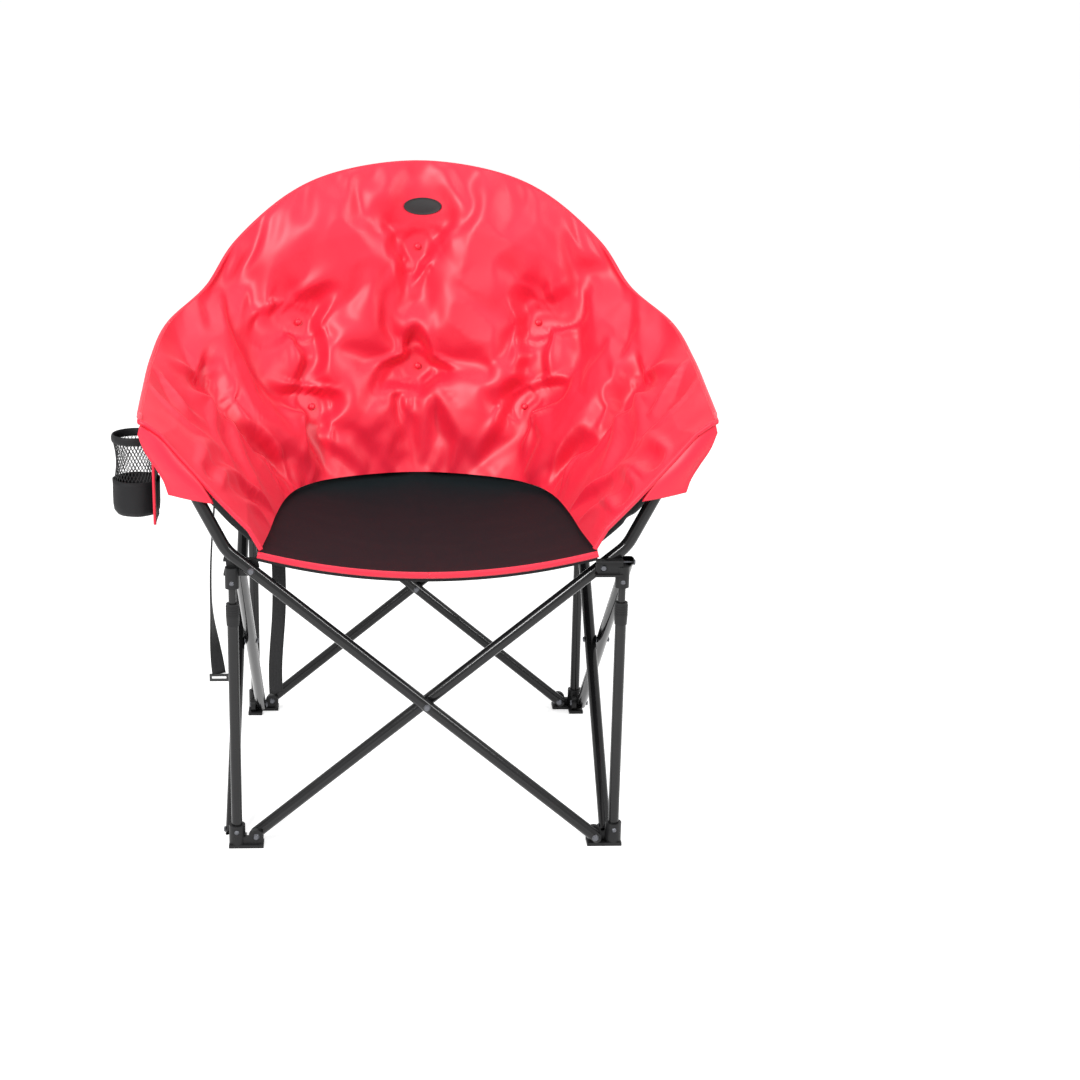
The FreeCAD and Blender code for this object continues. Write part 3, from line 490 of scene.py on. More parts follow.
def evenly(points, count):
    """count points at even distances along a smooth curve through the given ones."""
    points = np.asarray(points, float)
    fine = spline(points, np.linspace(0, len(points) - 1, CURVE_STEPS * len(points)))
    length = steps_along(fine)
    even = np.linspace(0, length[-1], count)
    return np.stack([np.interp(even, length, fine[:, k]) for k in range(3)], axis=1)


def middle_of(grid):
    """Value in the middle of a grid."""
    return grid[grid.shape[0] // 2, grid.shape[1] // 2]


def grid_normals(grid):
    """Unit normals of a grid of points."""
    return unit(np.cross(np.gradient(grid, axis=0), np.gradient(grid, axis=1)))


def blur(values, times):
    """Values of a grid averaged with their neighbours, edges kept."""
    for _ in range(times):
        smooth = values.copy()
        smooth[1:-1] = (values[:-2] + 2 * values[1:-1] + values[2:]) / 4
        values = smooth.copy()
        values[:, 1:-1] = (smooth[:, :-2] + 2 * smooth[:, 1:-1] + smooth[:, 2:]) / 4
    return values


def cloth_lengths(grid):
    """How far along the cloth each grid point lies, across and up, in metres."""
    across = reach_of(np.diff(grid, axis=0)).mean(axis=1)
    up = reach_of(np.diff(grid, axis=1)).mean(axis=0)
    u = np.concatenate([[0.0], np.cumsum(across)])
    v = np.concatenate([[0.0], np.cumsum(up)])
    return np.stack(np.meshgrid(u, v, indexing="ij"), axis=-1)


def oval(half_width, half_height, corners=12):
    """Cross-section of a round or oval cord."""
    angles = np.linspace(0, 2 * math.pi, corners, endpoint=False)
    return np.stack([half_width * np.cos(angles), half_height * np.sin(angles)], axis=1)


# Meshes

materials = {}


def new_object(name, data):
    """Object of a mesh, curve, lamp or camera, in the scene."""
    piece = bpy.data.objects.new(name, data)
    bpy.context.scene.collection.objects.link(piece)
    return piece


def point_ids(grid):
    """Numbers of a grid's points, in the grid's shape."""
    return np.arange(grid.shape[0] * grid.shape[1]).reshape(grid.shape[:2])


def grid_faces(ids):
    """Four-sided faces between the points of a grid."""
    return np.stack([ids[:-1, :-1], ids[1:, :-1], ids[1:, 1:], ids[:-1, 1:]], axis=-1).reshape(-1, 4)


def ring_faces(ids):
    """Faces of a closed form made of rings of points, its two ends last."""
    wrapped = np.concatenate([ids, ids[:, :1]], axis=1)
    return grid_faces(wrapped).tolist() + [ids[0].tolist(), ids[-1, ::-1].tolist()]


def set_lengths(mesh, lengths):
    """Notes on a mesh how far along the cloth each of its points lies."""
    points = np.zeros(len(mesh.loops), np.int32)
    mesh.loops.foreach_get("vertex_index", points)
    layer = mesh.uv_layers.new(name="cloth")
    layer.data.foreach_set("uv", lengths.reshape(-1, 2)[points].astype(np.float32).reshape(-1))


def smooth_piece(name, points, faces, finish, lengths=None, flat_ends=False):
    """Smooth piece of one finish, with cloth lengths and flat ends where they are asked for."""
    mesh = bpy.data.meshes.new(name)
    mesh.from_pydata(points, [], faces)
    if lengths is not None:
        set_lengths(mesh, lengths)
    mesh.materials.append(materials[finish])
    smooth = np.ones(len(faces), bool)
    smooth[-2:] = not flat_ends
    mesh.polygons.foreach_set("use_smooth", smooth)
    mesh.update()
    return new_object(name, mesh)


def ring_piece(name, rings, finish, lengths=None, flat_ends=False):
    """Closed piece of rings of points."""
    points = rings.reshape(-1, 3).tolist()
    return smooth_piece(name, points, ring_faces(point_ids(rings)), finish, lengths, flat_ends)


def section_offsets(path, section, hints):
    """Offsets of a cross-section at each point of a path: along the hints and square to them."""
    along = unit(np.gradient(path, axis=0))
    side = unit(hints - along * (hints * along).sum(1, keepdims=True))
    other = np.cross(along, side)
    return side[:, None] * section[None, :, :1] + other[:, None] * section[None, :, 1:]


def sweep(name, path, section, across, finish, scales=1.0):
    """Closed piece of a cross-section carried along a path, its first side along the across hints."""
    path = np.asarray(path, float)
    section = np.asarray(section, float)
    hints = np.broadcast_to(np.asarray(across, float), path.shape)
    scales = np.broadcast_to(np.asarray(scales, float), len(path))
    rings = path[:, None] + section_offsets(path, section, hints) * scales[:, None, None]
    around = steps_along(np.concatenate([section, section[:1]]))
    lengths = np.stack(np.meshgrid(steps_along(path), around[:-1], indexing="ij"), axis=-1)
    return ring_piece(name, rings, finish, lengths, flat_ends=True)


def closed_piece(name, front, back, front_normals, back_normals, finishes):
    """Closed piece between a front and a back grid, with the surfaces' own normals at cut edges.

    finishes are those of the front, the back and the edge walls.
    """
    ids = point_ids(front)
    count = ids.size
    loop = np.concatenate([ids[:, 0], ids[-1, 1:], ids[-2::-1, -1], ids[0, -2:0:-1]])
    after = np.roll(loop, -1)
    walls = np.stack([after, loop, loop + count, after + count], axis=-1)
    groups = [grid_faces(ids), grid_faces(ids)[:, ::-1] + count, walls]
    points = np.concatenate([front.reshape(-1, 3), back.reshape(-1, 3)])
    first = points[groups[0][len(groups[0]) // 2]]
    facing = np.cross(first[1] - first[0], first[3] - first[0])
    if facing @ middle_of(front_normals) < 0:
        groups = [group[:, ::-1] for group in groups]
    faces = np.concatenate(groups)
    mesh = bpy.data.meshes.new(name)
    mesh.from_pydata(points.tolist(), [], faces.tolist())
    normals = np.concatenate([front_normals.reshape(-1, 3), back_normals.reshape(-1, 3)])
    corners = points[groups[2]]
    wall_normals = unit(np.cross(corners[:, 2] - corners[:, 0], corners[:, 3] - corners[:, 1]))
    loops = np.concatenate([normals[groups[0]].reshape(-1, 3), normals[groups[1]].reshape(-1, 3),
                            np.repeat(wall_normals, 4, axis=0)])
    set_lengths(mesh, np.concatenate([cloth_lengths(front), cloth_lengths(back)]))
    for finish in finishes:
        mesh.materials.append(materials[finish])
    slots = np.repeat(np.arange(3), [len(group) for group in groups])
    mesh.polygons.foreach_set("material_index", slots.astype(np.int32))
    mesh.polygons.foreach_set("use_smooth", np.ones(len(faces), bool))
    mesh.normals_split_custom_set(loops.tolist())
    return new_object(name, mesh)


def carry(piece, body, node=None):
    """Carries a piece with a body; node names the CAD solid that it stands for."""
    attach(piece, body)
    if node:
        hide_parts(node)


def carry_cloth(piece, stretch, node=None):
    """Carries a piece with the body of its stretch of cloth, on a mesh of its own."""
    body, axis = FOLD_RIDES[stretch]
    carry(piece, body, node)
    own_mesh(piece)


# Materials

def add_node(tree, kind, inputs=None, **settings):
    """Adds a node with its settings; inputs are values or the sockets that feed it."""
    node = tree.nodes.new(kind)
    for key, value in settings.items():
        setattr(node, key, value)
    for key, value in (inputs or {}).items():
        if isinstance(value, bpy.types.NodeSocket):
            tree.links.new(value, node.inputs[key])
        else:
            node.inputs[key].default_value = value
    return node


def noise_node(tree, place, scale, detail):
    """Adds a noise texture that reads the given place."""
    return add_node(tree, "ShaderNodeTexNoise", {"Vector": place, "Scale": scale, "Detail": detail})


def start_material(name):
    """New node material, its tree and its surface shader."""
    material = bpy.data.materials.new(name)
    material.use_nodes = True
    tree = material.node_tree
    return material, tree, tree.nodes["Principled BSDF"]


def rgba(colour):
    """Colour with full cover."""
    return (*colour, 1.0)


def dress(tree, shader, marks, tints, shines, relief, settings):
    """Feeds a surface with relief, and with a tint and a roughness that change with the marks on it."""
    first, second = tints
    tint = add_node(tree, "ShaderNodeMix", {"Factor": marks, "A": rgba(first), "B": rgba(second)},
                    data_type="RGBA")
    shine = add_node(tree, "ShaderNodeMapRange", {"Value": marks, "To Min": shines[0], "To Max": shines[1]})
    bump = add_node(tree, "ShaderNodeBump", relief)
    tree.links.new(tint.outputs["Result"], shader.inputs["Base Color"])
    tree.links.new(shine.outputs["Result"], shader.inputs["Roughness"])
    tree.links.new(bump.outputs["Normal"], shader.inputs["Normal"])
    for key, value in settings.items():
        shader.inputs[key].default_value = value


def woven_cloth(name, colour, deep, roughness, sheen, thread, relief, gloss):
    """Woven cloth: crossing threads as relief, with slow changes of shade and shine over the panel.

    thread is the spacing of the threads that are drawn, coarser than the real ones so that they show.
    """
    material, tree, shader = start_material(name)
    place = add_node(tree, "ShaderNodeUVMap", uv_map="cloth").outputs["UV"]
    pitch = 2 * math.pi / (WAVE_RADIANS * thread)
    warp, weft = (add_node(tree, "ShaderNodeTexWave", {"Vector": place, "Scale": pitch}, bands_direction=way)
                  for way in "XY")
    weave = add_node(tree, "ShaderNodeMath", {0: warp.outputs["Fac"], 1: weft.outputs["Fac"]},
                     operation="MULTIPLY")
    shade = noise_node(tree, place, SHADE_SCALE, SHADE_DETAIL)
    shines = roughness + SHADE_SHINE, roughness - SHADE_SHINE
    dress(tree, shader, shade.outputs["Fac"], (deep, colour), shines,
          {"Height": weave.outputs["Value"], "Strength": relief, "Distance": thread / 4},
          {"Sheen Weight": sheen, "Sheen Roughness": SHEEN_ROUGHNESS, "Specular IOR Level": gloss})
    return material


def hard_finish(name, colour, metallic, roughness, grain, relief, gloss):
    """Coated, moulded or plated surface: fine grain in the relief, and handling wear in the shine."""
    material, tree, shader = start_material(name)
    place = add_node(tree, "ShaderNodeTexCoord").outputs["Object"]
    texture = noise_node(tree, place, 1 / grain, GRAIN_DETAIL)
    wear = noise_node(tree, place, WEAR_SCALE, WEAR_DETAIL)
    pale = tuple(min(1.0, c * WEAR_GAIN + WEAR_LIFT) for c in colour)
    shines = [roughness + change for change in WEAR_SHINE]
    dress(tree, shader, wear.outputs["Fac"], (colour, pale), shines,
          {"Height": texture.outputs["Fac"], "Strength": relief, "Distance": grain / 6},
          {"Metallic": metallic, "Specular IOR Level": gloss})
    return material


def make_materials():
    """All finishes of the chair, by the record's names for them."""
    for slot, (name, colour, deep, *finish) in CLOTHS.items():
        materials[slot] = woven_cloth(name, getattr(colours(), colour), getattr(colours(), deep), *finish)
    for slot, (name, colour, *finish) in HARD_FINISHES.items():
        materials[slot] = hard_finish(name, getattr(colours(), colour), *finish)


# The bucket: one quilt round the back and both arms

bucket = {}


def full_cuts():
    """Numbers of every cut from the left arm's front round to the right arm's front."""
    table = []
    for seam, rim, bow, out in reversed(CUTS):
        table.append([*seam, *rim, bow, *out])
    for seam, rim, bow, out in CUTS[1:]:
        table.append([-seam[0], *seam[1:], -rim[0], *rim[1:], bow, -out[0], *out[1:]])
    return np.array(table)


def bucket_surface(cuts, shares):
    """Middle surface of the quilt and the way outward, for each cut and share of the height."""
    seam, rim, bow, hint = cuts[:, 0:3], cuts[:, 3:6], cuts[:, 6], cuts[:, 7:10]
    chord = rim - seam
    along = unit(chord)
    out = unit(hint - along * (hint * along).sum(1, keepdims=True))
    bulge = 4 * bow[:, None] * shares * (1 - shares)
    middle = seam[:, None] + chord[:, None] * shares[None, :, None] + out[:, None] * bulge[:, :, None]
    return middle, np.repeat(out[:, None], len(shares), axis=1)


def nearest_point(cuts, shares, place):
    """Column and row nearest to a place, given in cuts from the middle and share of the height."""
    return int(np.argmin(abs(cuts - place[0]))), int(np.argmin(abs(shares - place[1])))


def edge_points(grid):
    """Marks the points on a grid's edges."""
    marks = np.ones(grid.shape[:2], bool)
    marks[1:-1, 1:-1] = False
    return marks


def sew_cloth(name, sewn, slack, held, facing, frames, closing, settings, tight=None, gravity=0.0):
    """Draws a cloth that is cut too large into its sewn shape and returns where its points settle.

    slack is the spare share each way, held points follow the sewn shape, facing is the way its middle
    faces, and tight gives, per column, how far it is drawn tighter.
    """
    columns, rows, _ = sewn.shape
    centre = sewn.mean(axis=(0, 1))
    cut = centre + (sewn - centre) * (1 + np.array(slack))
    ids = point_ids(sewn)
    faces = grid_faces(ids)
    if middle_of(grid_normals(sewn)) @ facing < 0:
        faces = faces[:, ::-1]
    mesh = bpy.data.meshes.new(name)
    mesh.from_pydata(cut.reshape(-1, 3).tolist(), [], faces.tolist())
    cloth = new_object(name, mesh)
    cloth.shape_key_add(name="cut")
    key = cloth.shape_key_add(name="sewn")
    key.data.foreach_set("co", sewn.reshape(-1).astype(np.float32))
    for frame_number, share in ((1, 0.0), (closing, 1.0)):
        key.value = share
        key.keyframe_insert("value", frame=frame_number)
    pins = cloth.vertex_groups.new(name="held")
    pins.add(ids[held].tolist(), 1.0, "REPLACE")
    modifier = cloth.modifiers.new("cloth", "CLOTH")
    for key_name, value in settings.items():
        setattr(modifier.settings, key_name, value)
    modifier.settings.vertex_group_mass = "held"
    modifier.settings.effector_weights.gravity = gravity
    if tight is not None:
        group = cloth.vertex_groups.new(name="tight")
        for column in range(columns):
            group.add(ids[column].tolist(), float(tight[column]), "REPLACE")
        modifier.settings.vertex_group_shrink = "tight"
        modifier.settings.vertex_group_bending = "tight"
        modifier.settings.shrink_max = sizes().arm_draw
        modifier.settings.shrink_min = 0.0
    modifier.collision_settings.use_collision = False
    modifier.point_cache.frame_start = 1
    modifier.point_cache.frame_end = frames
    scene = bpy.context.scene
    for number in range(1, frames + 1):
        scene.frame_set(number)
    settled = bpy.data.meshes.new_from_object(cloth.evaluated_get(bpy.context.evaluated_depsgraph_get()))
    points = np.zeros(columns * rows * 3, np.float32)
    settled.vertices.foreach_get("co", points)
    scene.frame_set(1)
    bpy.data.objects.remove(cloth)
    bpy.data.meshes.remove(settled)
    return points.reshape(columns, rows, 3).astype(float)


def column_places(table):
    """Places of the quilt's columns among the cuts: even along its belt, with one on each split."""
    fine = np.linspace(0, len(table) - 1, BELT_STEPS)
    belt, _ = bucket_surface(spline(table, fine), np.array([BELT_SHARE]))
    length = steps_along(belt[:, 0])
    columns = int(length[-1] / sizes().cloth_spacing) | 1
    places = np.interp(np.linspace(0, length[-1], columns), length, fine)
    for split in (MIDDLE_CUT - SPLIT_CUT, MIDDLE_CUT + SPLIT_CUT):
        places[np.argmin(abs(places - split))] = split
    return places


def fold_relief(grid, table):
    """How far the folds sink each point of the quilt; the cloth beside a fold stands a little proud."""
    size = sizes()
    sunk = np.zeros(grid.shape[:2])
    proud = np.zeros(grid.shape[:2])
    for start, run in ((start, run) for start, runs in FOLDS.items() for run in runs):
        places = evenly([(*start, 0.0), (*run[:2], 0.0), (*run[2:], 0.0)], FOLD_STEPS)
        lines = spline(table, places[:, 0] + MIDDLE_CUT)
        course = np.array([bucket_surface(line[None], np.array([share]))[0][0, 0]
                           for line, share in zip(lines, places[:, 1])])
        away = reach_of(grid[:, :, None] - course)
        passed = away.argmin(axis=2) / FOLD_STEPS
        depth = size.fold_depth * (1 - passed) ** FOLD_FADE
        width = size.fold_width * FOLD_NARROW * (1 + passed)
        reach = np.maximum(away.min(axis=2) - size.quilt_crown, 0.0) / width
        sunk = np.maximum(sunk, depth * np.exp(-reach ** 2))
        proud = np.maximum(proud, RIDGE_HEIGHT * depth * np.exp(-(reach - RIDGE_PLACE) ** 2))
    return sunk - proud


def settle_quilt(smooth, out, held, cuts):
    """The quilt's inner face after its spare cloth is drawn in and settles."""
    size = sizes()
    ripple = np.array([[noise.noise(Vector(point) * SEED_SCALE) for point in row] for row in smooth])
    sewn = smooth - out * (SEED_RELIEF * ripple * ~held)[:, :, None]
    slack = (size.slack_across, size.slack_across, size.slack_up)
    tight = np.clip((abs(cuts) - ARM_DRAW_FROM) / ARM_DRAW_OVER, 0, 1)
    settled = sew_cloth("quilt_cloth", sewn, slack, held, -middle_of(out), QUILT_FRAMES, QUILT_CLOSING,
                        QUILT_CLOTH, tight)
    moved = blur(settled - smooth, BACK_SMOOTHING)
    moved = moved + (blur(moved, ARM_SMOOTHING) - moved) * tight[:, None, None]
    return smooth + moved * np.minimum(1.0, QUILT_MOVE_CAP / np.maximum(reach_of(moved), 1e-9))[:, :, None]


def press_folds(inner, smooth, middle, out, table, cuts, fade):
    """The quilt's inner face with its folds; the cloth under the oval patch stays calm."""
    size = sizes()
    shares = np.linspace(0, 1, size.quilt_rows)
    badge = middle[nearest_point(cuts, shares, BADGE_PLACE)]
    calm = np.exp(-(reach_of(middle - badge) / BADGE_CALM) ** 4)[:, :, None]
    inner = inner + (smooth - inner) * calm
    padding = -((inner - middle) * out).sum(axis=2)
    spare = np.maximum(padding - size.tuft_depth, LEAST_SPARE)
    sunk = fold_relief(inner, table)
    sunk = np.where(sunk > 0, spare * (1 - np.exp(-np.maximum(sunk, 0) / spare)), sunk)
    edges = np.minimum(1.0, FOLD_EDGE_RISE * np.minimum(shares, 1 - shares))[None] * fade
    return inner + out * (sunk * edges)[:, :, None] * (1 - calm)


def lining_face(inner, middle, out, rise):
    """The quilt's lining: it follows the folds weakly and closes up to the inner face over the arm tubes."""
    size = sizes()
    padding = -((inner - middle) * out).sum(axis=2)
    relief = np.clip(padding - blur(padding, LINING_SMOOTHING), -LINING_LIMIT, LINING_LIMIT)
    flat = size.lining_edge + (size.lining_crown - size.lining_edge) * rise
    outer = middle + out * (flat - LINING_FOLLOW * relief * rise)[:, :, None]
    closed = np.clip((LINING_CLOSE_Y - middle[:, :, 1]) / LINING_CLOSE_OVER, 0, 1)[:, :, None]
    return outer * (1 - closed) + (inner + out * LINING_CLOSE_GAP) * closed


def facing_normals(grid, way):
    """Normals of a grid on the side where its middle faces the given way."""
    normals = grid_normals(grid)
    return normals if middle_of(normals) @ way > 0 else -normals


def make_bucket_shape():
    """Works out the quilt's inner face and lining once, for every piece that lies on them."""
    size = sizes()
    table = full_cuts()
    places = column_places(table)
    cuts = places - MIDDLE_CUT
    columns = len(places)
    shares = np.linspace(0, 1, size.quilt_rows)
    middle, out = bucket_surface(spline(table, places), shares)
    rise = np.minimum(1.0, PADDING_RISE * np.sin(np.pi * shares))[None]
    from_front = np.minimum(np.arange(columns), np.arange(columns)[::-1])
    plump = np.minimum(1.0, from_front / FRONT_COLUMNS)[:, None]
    depth = size.quilt_edge + (size.quilt_crown - size.quilt_edge) * np.repeat(rise, columns, axis=0)
    depth = np.minimum(depth, size.quilt_front + (size.quilt_crown - size.quilt_front) * plump)
    held = edge_points(middle)
    for place in TUFTS + PULLS:
        away = reach_of(middle - middle[nearest_point(cuts, shares, place)])
        dent = np.exp(-(away / TUFT_REACH) ** 2)
        depth = depth * (1 - dent) + size.tuft_depth * dent
        held |= away < TUFT_HOLD
    smooth = middle - out * depth[:, :, None]
    inner = settle_quilt(smooth, out, held, cuts)
    inner = press_folds(inner, smooth, middle, out, table, cuts, plump)
    outer = refine(lining_face(inner, middle, out, rise))
    inner = refine(inner)
    out = refine(out)
    way = middle_of(out)
    bucket.update(
        inner=inner, outer=outer, out=out,
        inner_normals=facing_normals(inner, -way), outer_normals=facing_normals(outer, way),
        cuts=np.interp(np.arange(2 * columns - 1) / 2, np.arange(columns), cuts),
        shares=np.linspace(0, 1, 2 * size.quilt_rows - 1))


def bucket_columns():
    """Columns of the left wing, the back and the right wing."""
    cuts = bucket["cuts"]
    left = int(np.argmin(abs(cuts + SPLIT_CUT)))
    right = int(np.argmin(abs(cuts - SPLIT_CUT)))
    return {"left": slice(0, left + 1), "back": slice(left, right + 1), "right": slice(right, len(cuts))}


def bucket_window(key, column, row, window):
    """The bucket's values round a point, so many columns and rows each way."""
    across, up = window
    return bucket[key][column - across:column + across + 1, row - up:row + up + 1]


class CHAIR_OT_quilt(Operator):
    """Sews the quilted back and arm wings"""

    bl_idname = "chair.quilt"
    bl_label = "Quilted bucket"

    def execute(self, context):
        make_bucket_shape()
        nodes = {"left": "left_arm_pad", "back": "back_pad", "right": "right_arm_pad"}
        finishes = ["red_polyester", "lining", "red_binding"]
        for side, columns in bucket_columns().items():
            faces = [bucket[key][columns] for key in ("inner", "outer", "inner_normals", "outer_normals")]
            quilt = closed_piece("quilt_" + side, *faces, finishes)
            carry_cloth(quilt, side, nodes[side])
        return {"FINISHED"}


class CHAIR_OT_piping(Operator):
    """Sews piping on the rim and down the front seams of the arms"""

    bl_idname = "chair.piping"
    bl_label = "Piping"

    def execute(self, context):
        radius = sizes().piping_radius
        rim = (bucket["inner"][:, -1] + bucket["outer"][:, -1]) / 2
        out = bucket["out"][:, -1]
        for side, columns in bucket_columns().items():
            lines = [(rim[columns], out[columns])]
            if side != "back":
                edge = 0 if side == "left" else -1
                front = bucket["inner"][edge, :-PIPING_STOP] - [0, radius / 2, 0]
                seam = front, bucket["out"][edge, :-PIPING_STOP]
                lines = [seam, *lines] if side == "left" else [*lines, [line[::-1] for line in seam]]
            path, hints = (np.concatenate(parts) for parts in zip(*lines))
            piping = sweep("piping_" + side, path, oval(radius, radius), hints, "red_binding")
            carry_cloth(piping, side)
        return {"FINISHED"}


class CHAIR_OT_tufts(Operator):
    """Sets the cloth-covered buttons of the tufts"""

    bl_idname = "chair.tufts"
    bl_label = "Tuft buttons"

    def execute(self, context):
        radius = sizes().button_radius
        widths, heights = zip(*BUTTON_PROFILE)
        for number, place in enumerate(TUFTS):
            column, row = nearest_point(bucket["cuts"], bucket["shares"], place)
            way = unit(bucket_window("inner_normals", column, row, BUTTON_WINDOW).mean(axis=(0, 1)))
            foot = bucket["inner"][column, row] + way * BUTTON_LIFT
            path = [foot + way * (radius * height + POINT_GAP * k) for k, height in enumerate(heights)]
            button = sweep("tuft_button_%d" % (number + 1), path, oval(radius, radius, BUTTON_CORNERS),
                           (1, 0, 0), "red_polyester", widths)
            carry_cloth(button, "back", "back_tuft_buttons" if number == 0 else None)
        return {"FINISHED"}


def curve_terms(a, b):
    """Terms of a gently curved surface at places a across and b up."""
    return np.stack([np.ones(len(a)), a, b, a * a, b * b, a * b], axis=1)


class CHAIR_OT_badge(Operator):
    """Sews the blank oval patch on the upper back"""

    bl_idname = "chair.badge"
    bl_label = "Blank oval patch"

    def execute(self, context):
        size = sizes()
        column, row = nearest_point(bucket["cuts"], bucket["shares"], BADGE_PLACE)
        way = unit(bucket_window("inner_normals", column, row, BADGE_WINDOW).mean(axis=(0, 1)))
        across = unit(np.cross(UPWARD, way))
        up = np.cross(way, across)
        centre = bucket["inner"][column, row]
        near = bucket_window("inner", column, row, BADGE_CURVE_WINDOW).reshape(-1, 3) - centre
        a, b, height = near @ across, near @ up, near @ way
        fit = np.linalg.lstsq(curve_terms(a, b), height, rcond=None)[0]
        inside = (2 * a / size.badge_width) ** 2 + (2 * b / size.badge_height) ** 2 < 1.0
        proud = (height - curve_terms(a, b) @ fit)[inside].max()
        rings = []
        for scale, lift in BADGE_RINGS:
            ring = oval(scale * size.badge_width / 2, scale * size.badge_height / 2, BADGE_CORNERS)
            base = curve_terms(*ring.T) @ fit + lift + proud
            rings.append(centre + ring @ np.array([across, up]) + base[:, None] * way)
        badge = ring_piece("blank_badge", np.array(rings), "black_rubber")
        carry_cloth(badge, "back", "back_badge")
        return {"FINISHED"}


def sleeve_ring(inside, outside, front_y, bulge):
    """One ring of a sleeve: bulged front, rolled outer edge and flat back."""
    across = outside - inside
    ring = []
    for share in np.linspace(0, 1, SLEEVE_FRONT_POINTS):
        crown = 1 - 4 * (share - SLEEVE_CROWN_PLACE) ** 2 if share < 1 else SLEEVE_EDGE_CROWN
        ring.append(inside + across * share + [0, front_y - bulge * crown, 0])
    roll = unit(across) * SLEEVE_ROLL
    for share in SLEEVE_ROLL_SHARES:
        depth = front_y + (SLEEVE_BACK_Y - front_y) * share
        ring.append(outside + roll * math.sin(math.pi * share) + [0, depth, 0])
    for share in SLEEVE_BACK_SHARES:
        ring.append(inside + across * share + [0, SLEEVE_BACK_Y, 0])
    return ring


class CHAIR_OT_sleeves(Operator):
    """Sews the red sleeves on the front edges of the arms"""

    bl_idname = "chair.sleeves"
    bl_label = "Arm sleeves"

    def execute(self, context):
        for side, sign in (("left", 1), ("right", -1)):
            tube = side + "_arm_tube"
            seam, edge = (evenly([(x * sign, 0, z) for x, z in line], SLEEVE_RINGS)
                          for line in zip(*SLEEVE_CUTS))
            front_y = min(SLEEVE_FRONT_Y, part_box(tube)[0].y - SLEEVE_CLEARANCE)
            rings = []
            for number, (inside, outside) in enumerate(zip(seam, edge)):
                share = min(1.0, SLEEVE_BULGE_START + number / SLEEVE_BULGE_RINGS)
                bulge = SLEEVE_BULGE * math.sin(math.pi * share)
                rings.append(sleeve_ring(inside, outside, front_y, bulge))
            rings = np.array(rings)
            sleeve = ring_piece(side + "_sleeve_cloth", rings, "red_polyester", cloth_lengths(rings))
            carry(sleeve, tube, side + "_arm_sleeve")
        return {"FINISHED"}


def make_seat_shape():
    """Top of the slung seat panel, as columns across and rows from front to back."""
    fine = spline(full_cuts(), np.linspace(0, MIDDLE_CUT, SEAT_EDGE_STEPS))[:, 0:3]
    fine[0, 1] = SEAT_FRONT_Y
    edge = evenly(fine[::SEAT_EDGE_STRIDE], SEAT_ROWS)
    edge[:, 2] -= SEAT_BELOW_SEAM
    turn = np.linspace(0, math.pi / 2, SEAT_ROWS)
    edge[:, 0] -= SEAT_TUCK * np.clip(turn / SEAT_TUCK_TURN, 0, 1) * np.cos(turn)
    edge[:, 1] += SEAT_TUCK * np.sin(turn)
    drop = np.interp(np.linspace(0, 1, SEAT_ROWS), *zip(*SEAT_DROPS))
    across = np.linspace(-1, 1, SEAT_COLUMNS)[:, None]
    flat = np.zeros((SEAT_COLUMNS, SEAT_ROWS, 3))
    flat[:, :, 0] = across * np.maximum(abs(edge[:, 0]), SEAT_BACK_HALF)
    flat[:, :, 1] = edge[:, 1]
    flat[:, :, 2] = edge[:, 2] - drop * (1 - across ** 2)
    top = sew_cloth("seat_cloth", flat, (SEAT_SLACK, SEAT_SLACK, 0.0), edge_points(flat), UPWARD,
                    SEAT_FRAMES, SEAT_CLOSING, SEAT_CLOTH, gravity=SEAT_GRAVITY)
    top = flat + blur(top - flat, SEAT_SMOOTHING)
    top[SEAT_COLUMNS // 2, :, 0] = 0.0
    return refine(top)


class CHAIR_OT_seat(Operator):
    """Slings the black seat panel and binds its front edge"""

    bl_idname = "chair.seat"
    bl_label = "Seat"

    def execute(self, context):
        size = sizes()
        top = make_seat_shape()
        normals = facing_normals(top, UPWARD)
        under = top - [0, 0, size.seat_thickness]
        finishes = ["black_polyester", "lining", "lining"]
        section = oval(SEAT_BINDING_DEPTH, size.binding_radius, SEAT_BINDING_CORNERS)
        middle = len(top) // 2
        for side, half in (("left", slice(0, middle + 1)), ("right", slice(middle, len(top)))):
            panel = closed_piece("seat_cloth_" + side, top[half], under[half], normals[half], -normals[half],
                                 finishes)
            carry_cloth(panel, "seat_" + side, "seat_panel_" + side)
            path = top[half, 0] - normals[half, 0] * SEAT_BINDING_SHIFT - [0, SEAT_BINDING_SHIFT, 0]
            binding = sweep("seat_edge_" + side, path, section, (0, -1, 0), "red_binding")
            carry_cloth(binding, "seat_" + side, "seat_binding_" + side)
        return {"FINISHED"}


def pocket_web(side, path):
    """Cloth that joins a back pocket to the lining beside it."""
    lining = bucket["outer"].reshape(-1, 3)
    nearest = np.array([lining[reach_of(lining - point).argmin()] for point in path])
    nearest = blur(nearest[:, None].repeat(3, axis=1), POCKET_WEB_SMOOTHING)[:, 1]
    shares = np.linspace(0, 1, POCKET_WEB_POINTS)[None, :, None]
    web = path[:, None] * (1 - shares) + nearest[:, None] * shares
    normals = grid_normals(web)
    half = normals * sizes().webbing_thickness / 2
    return closed_piece(side + "_pocket_web", web + half, web - half, normals, -normals,
                        ["lining"] * 3)


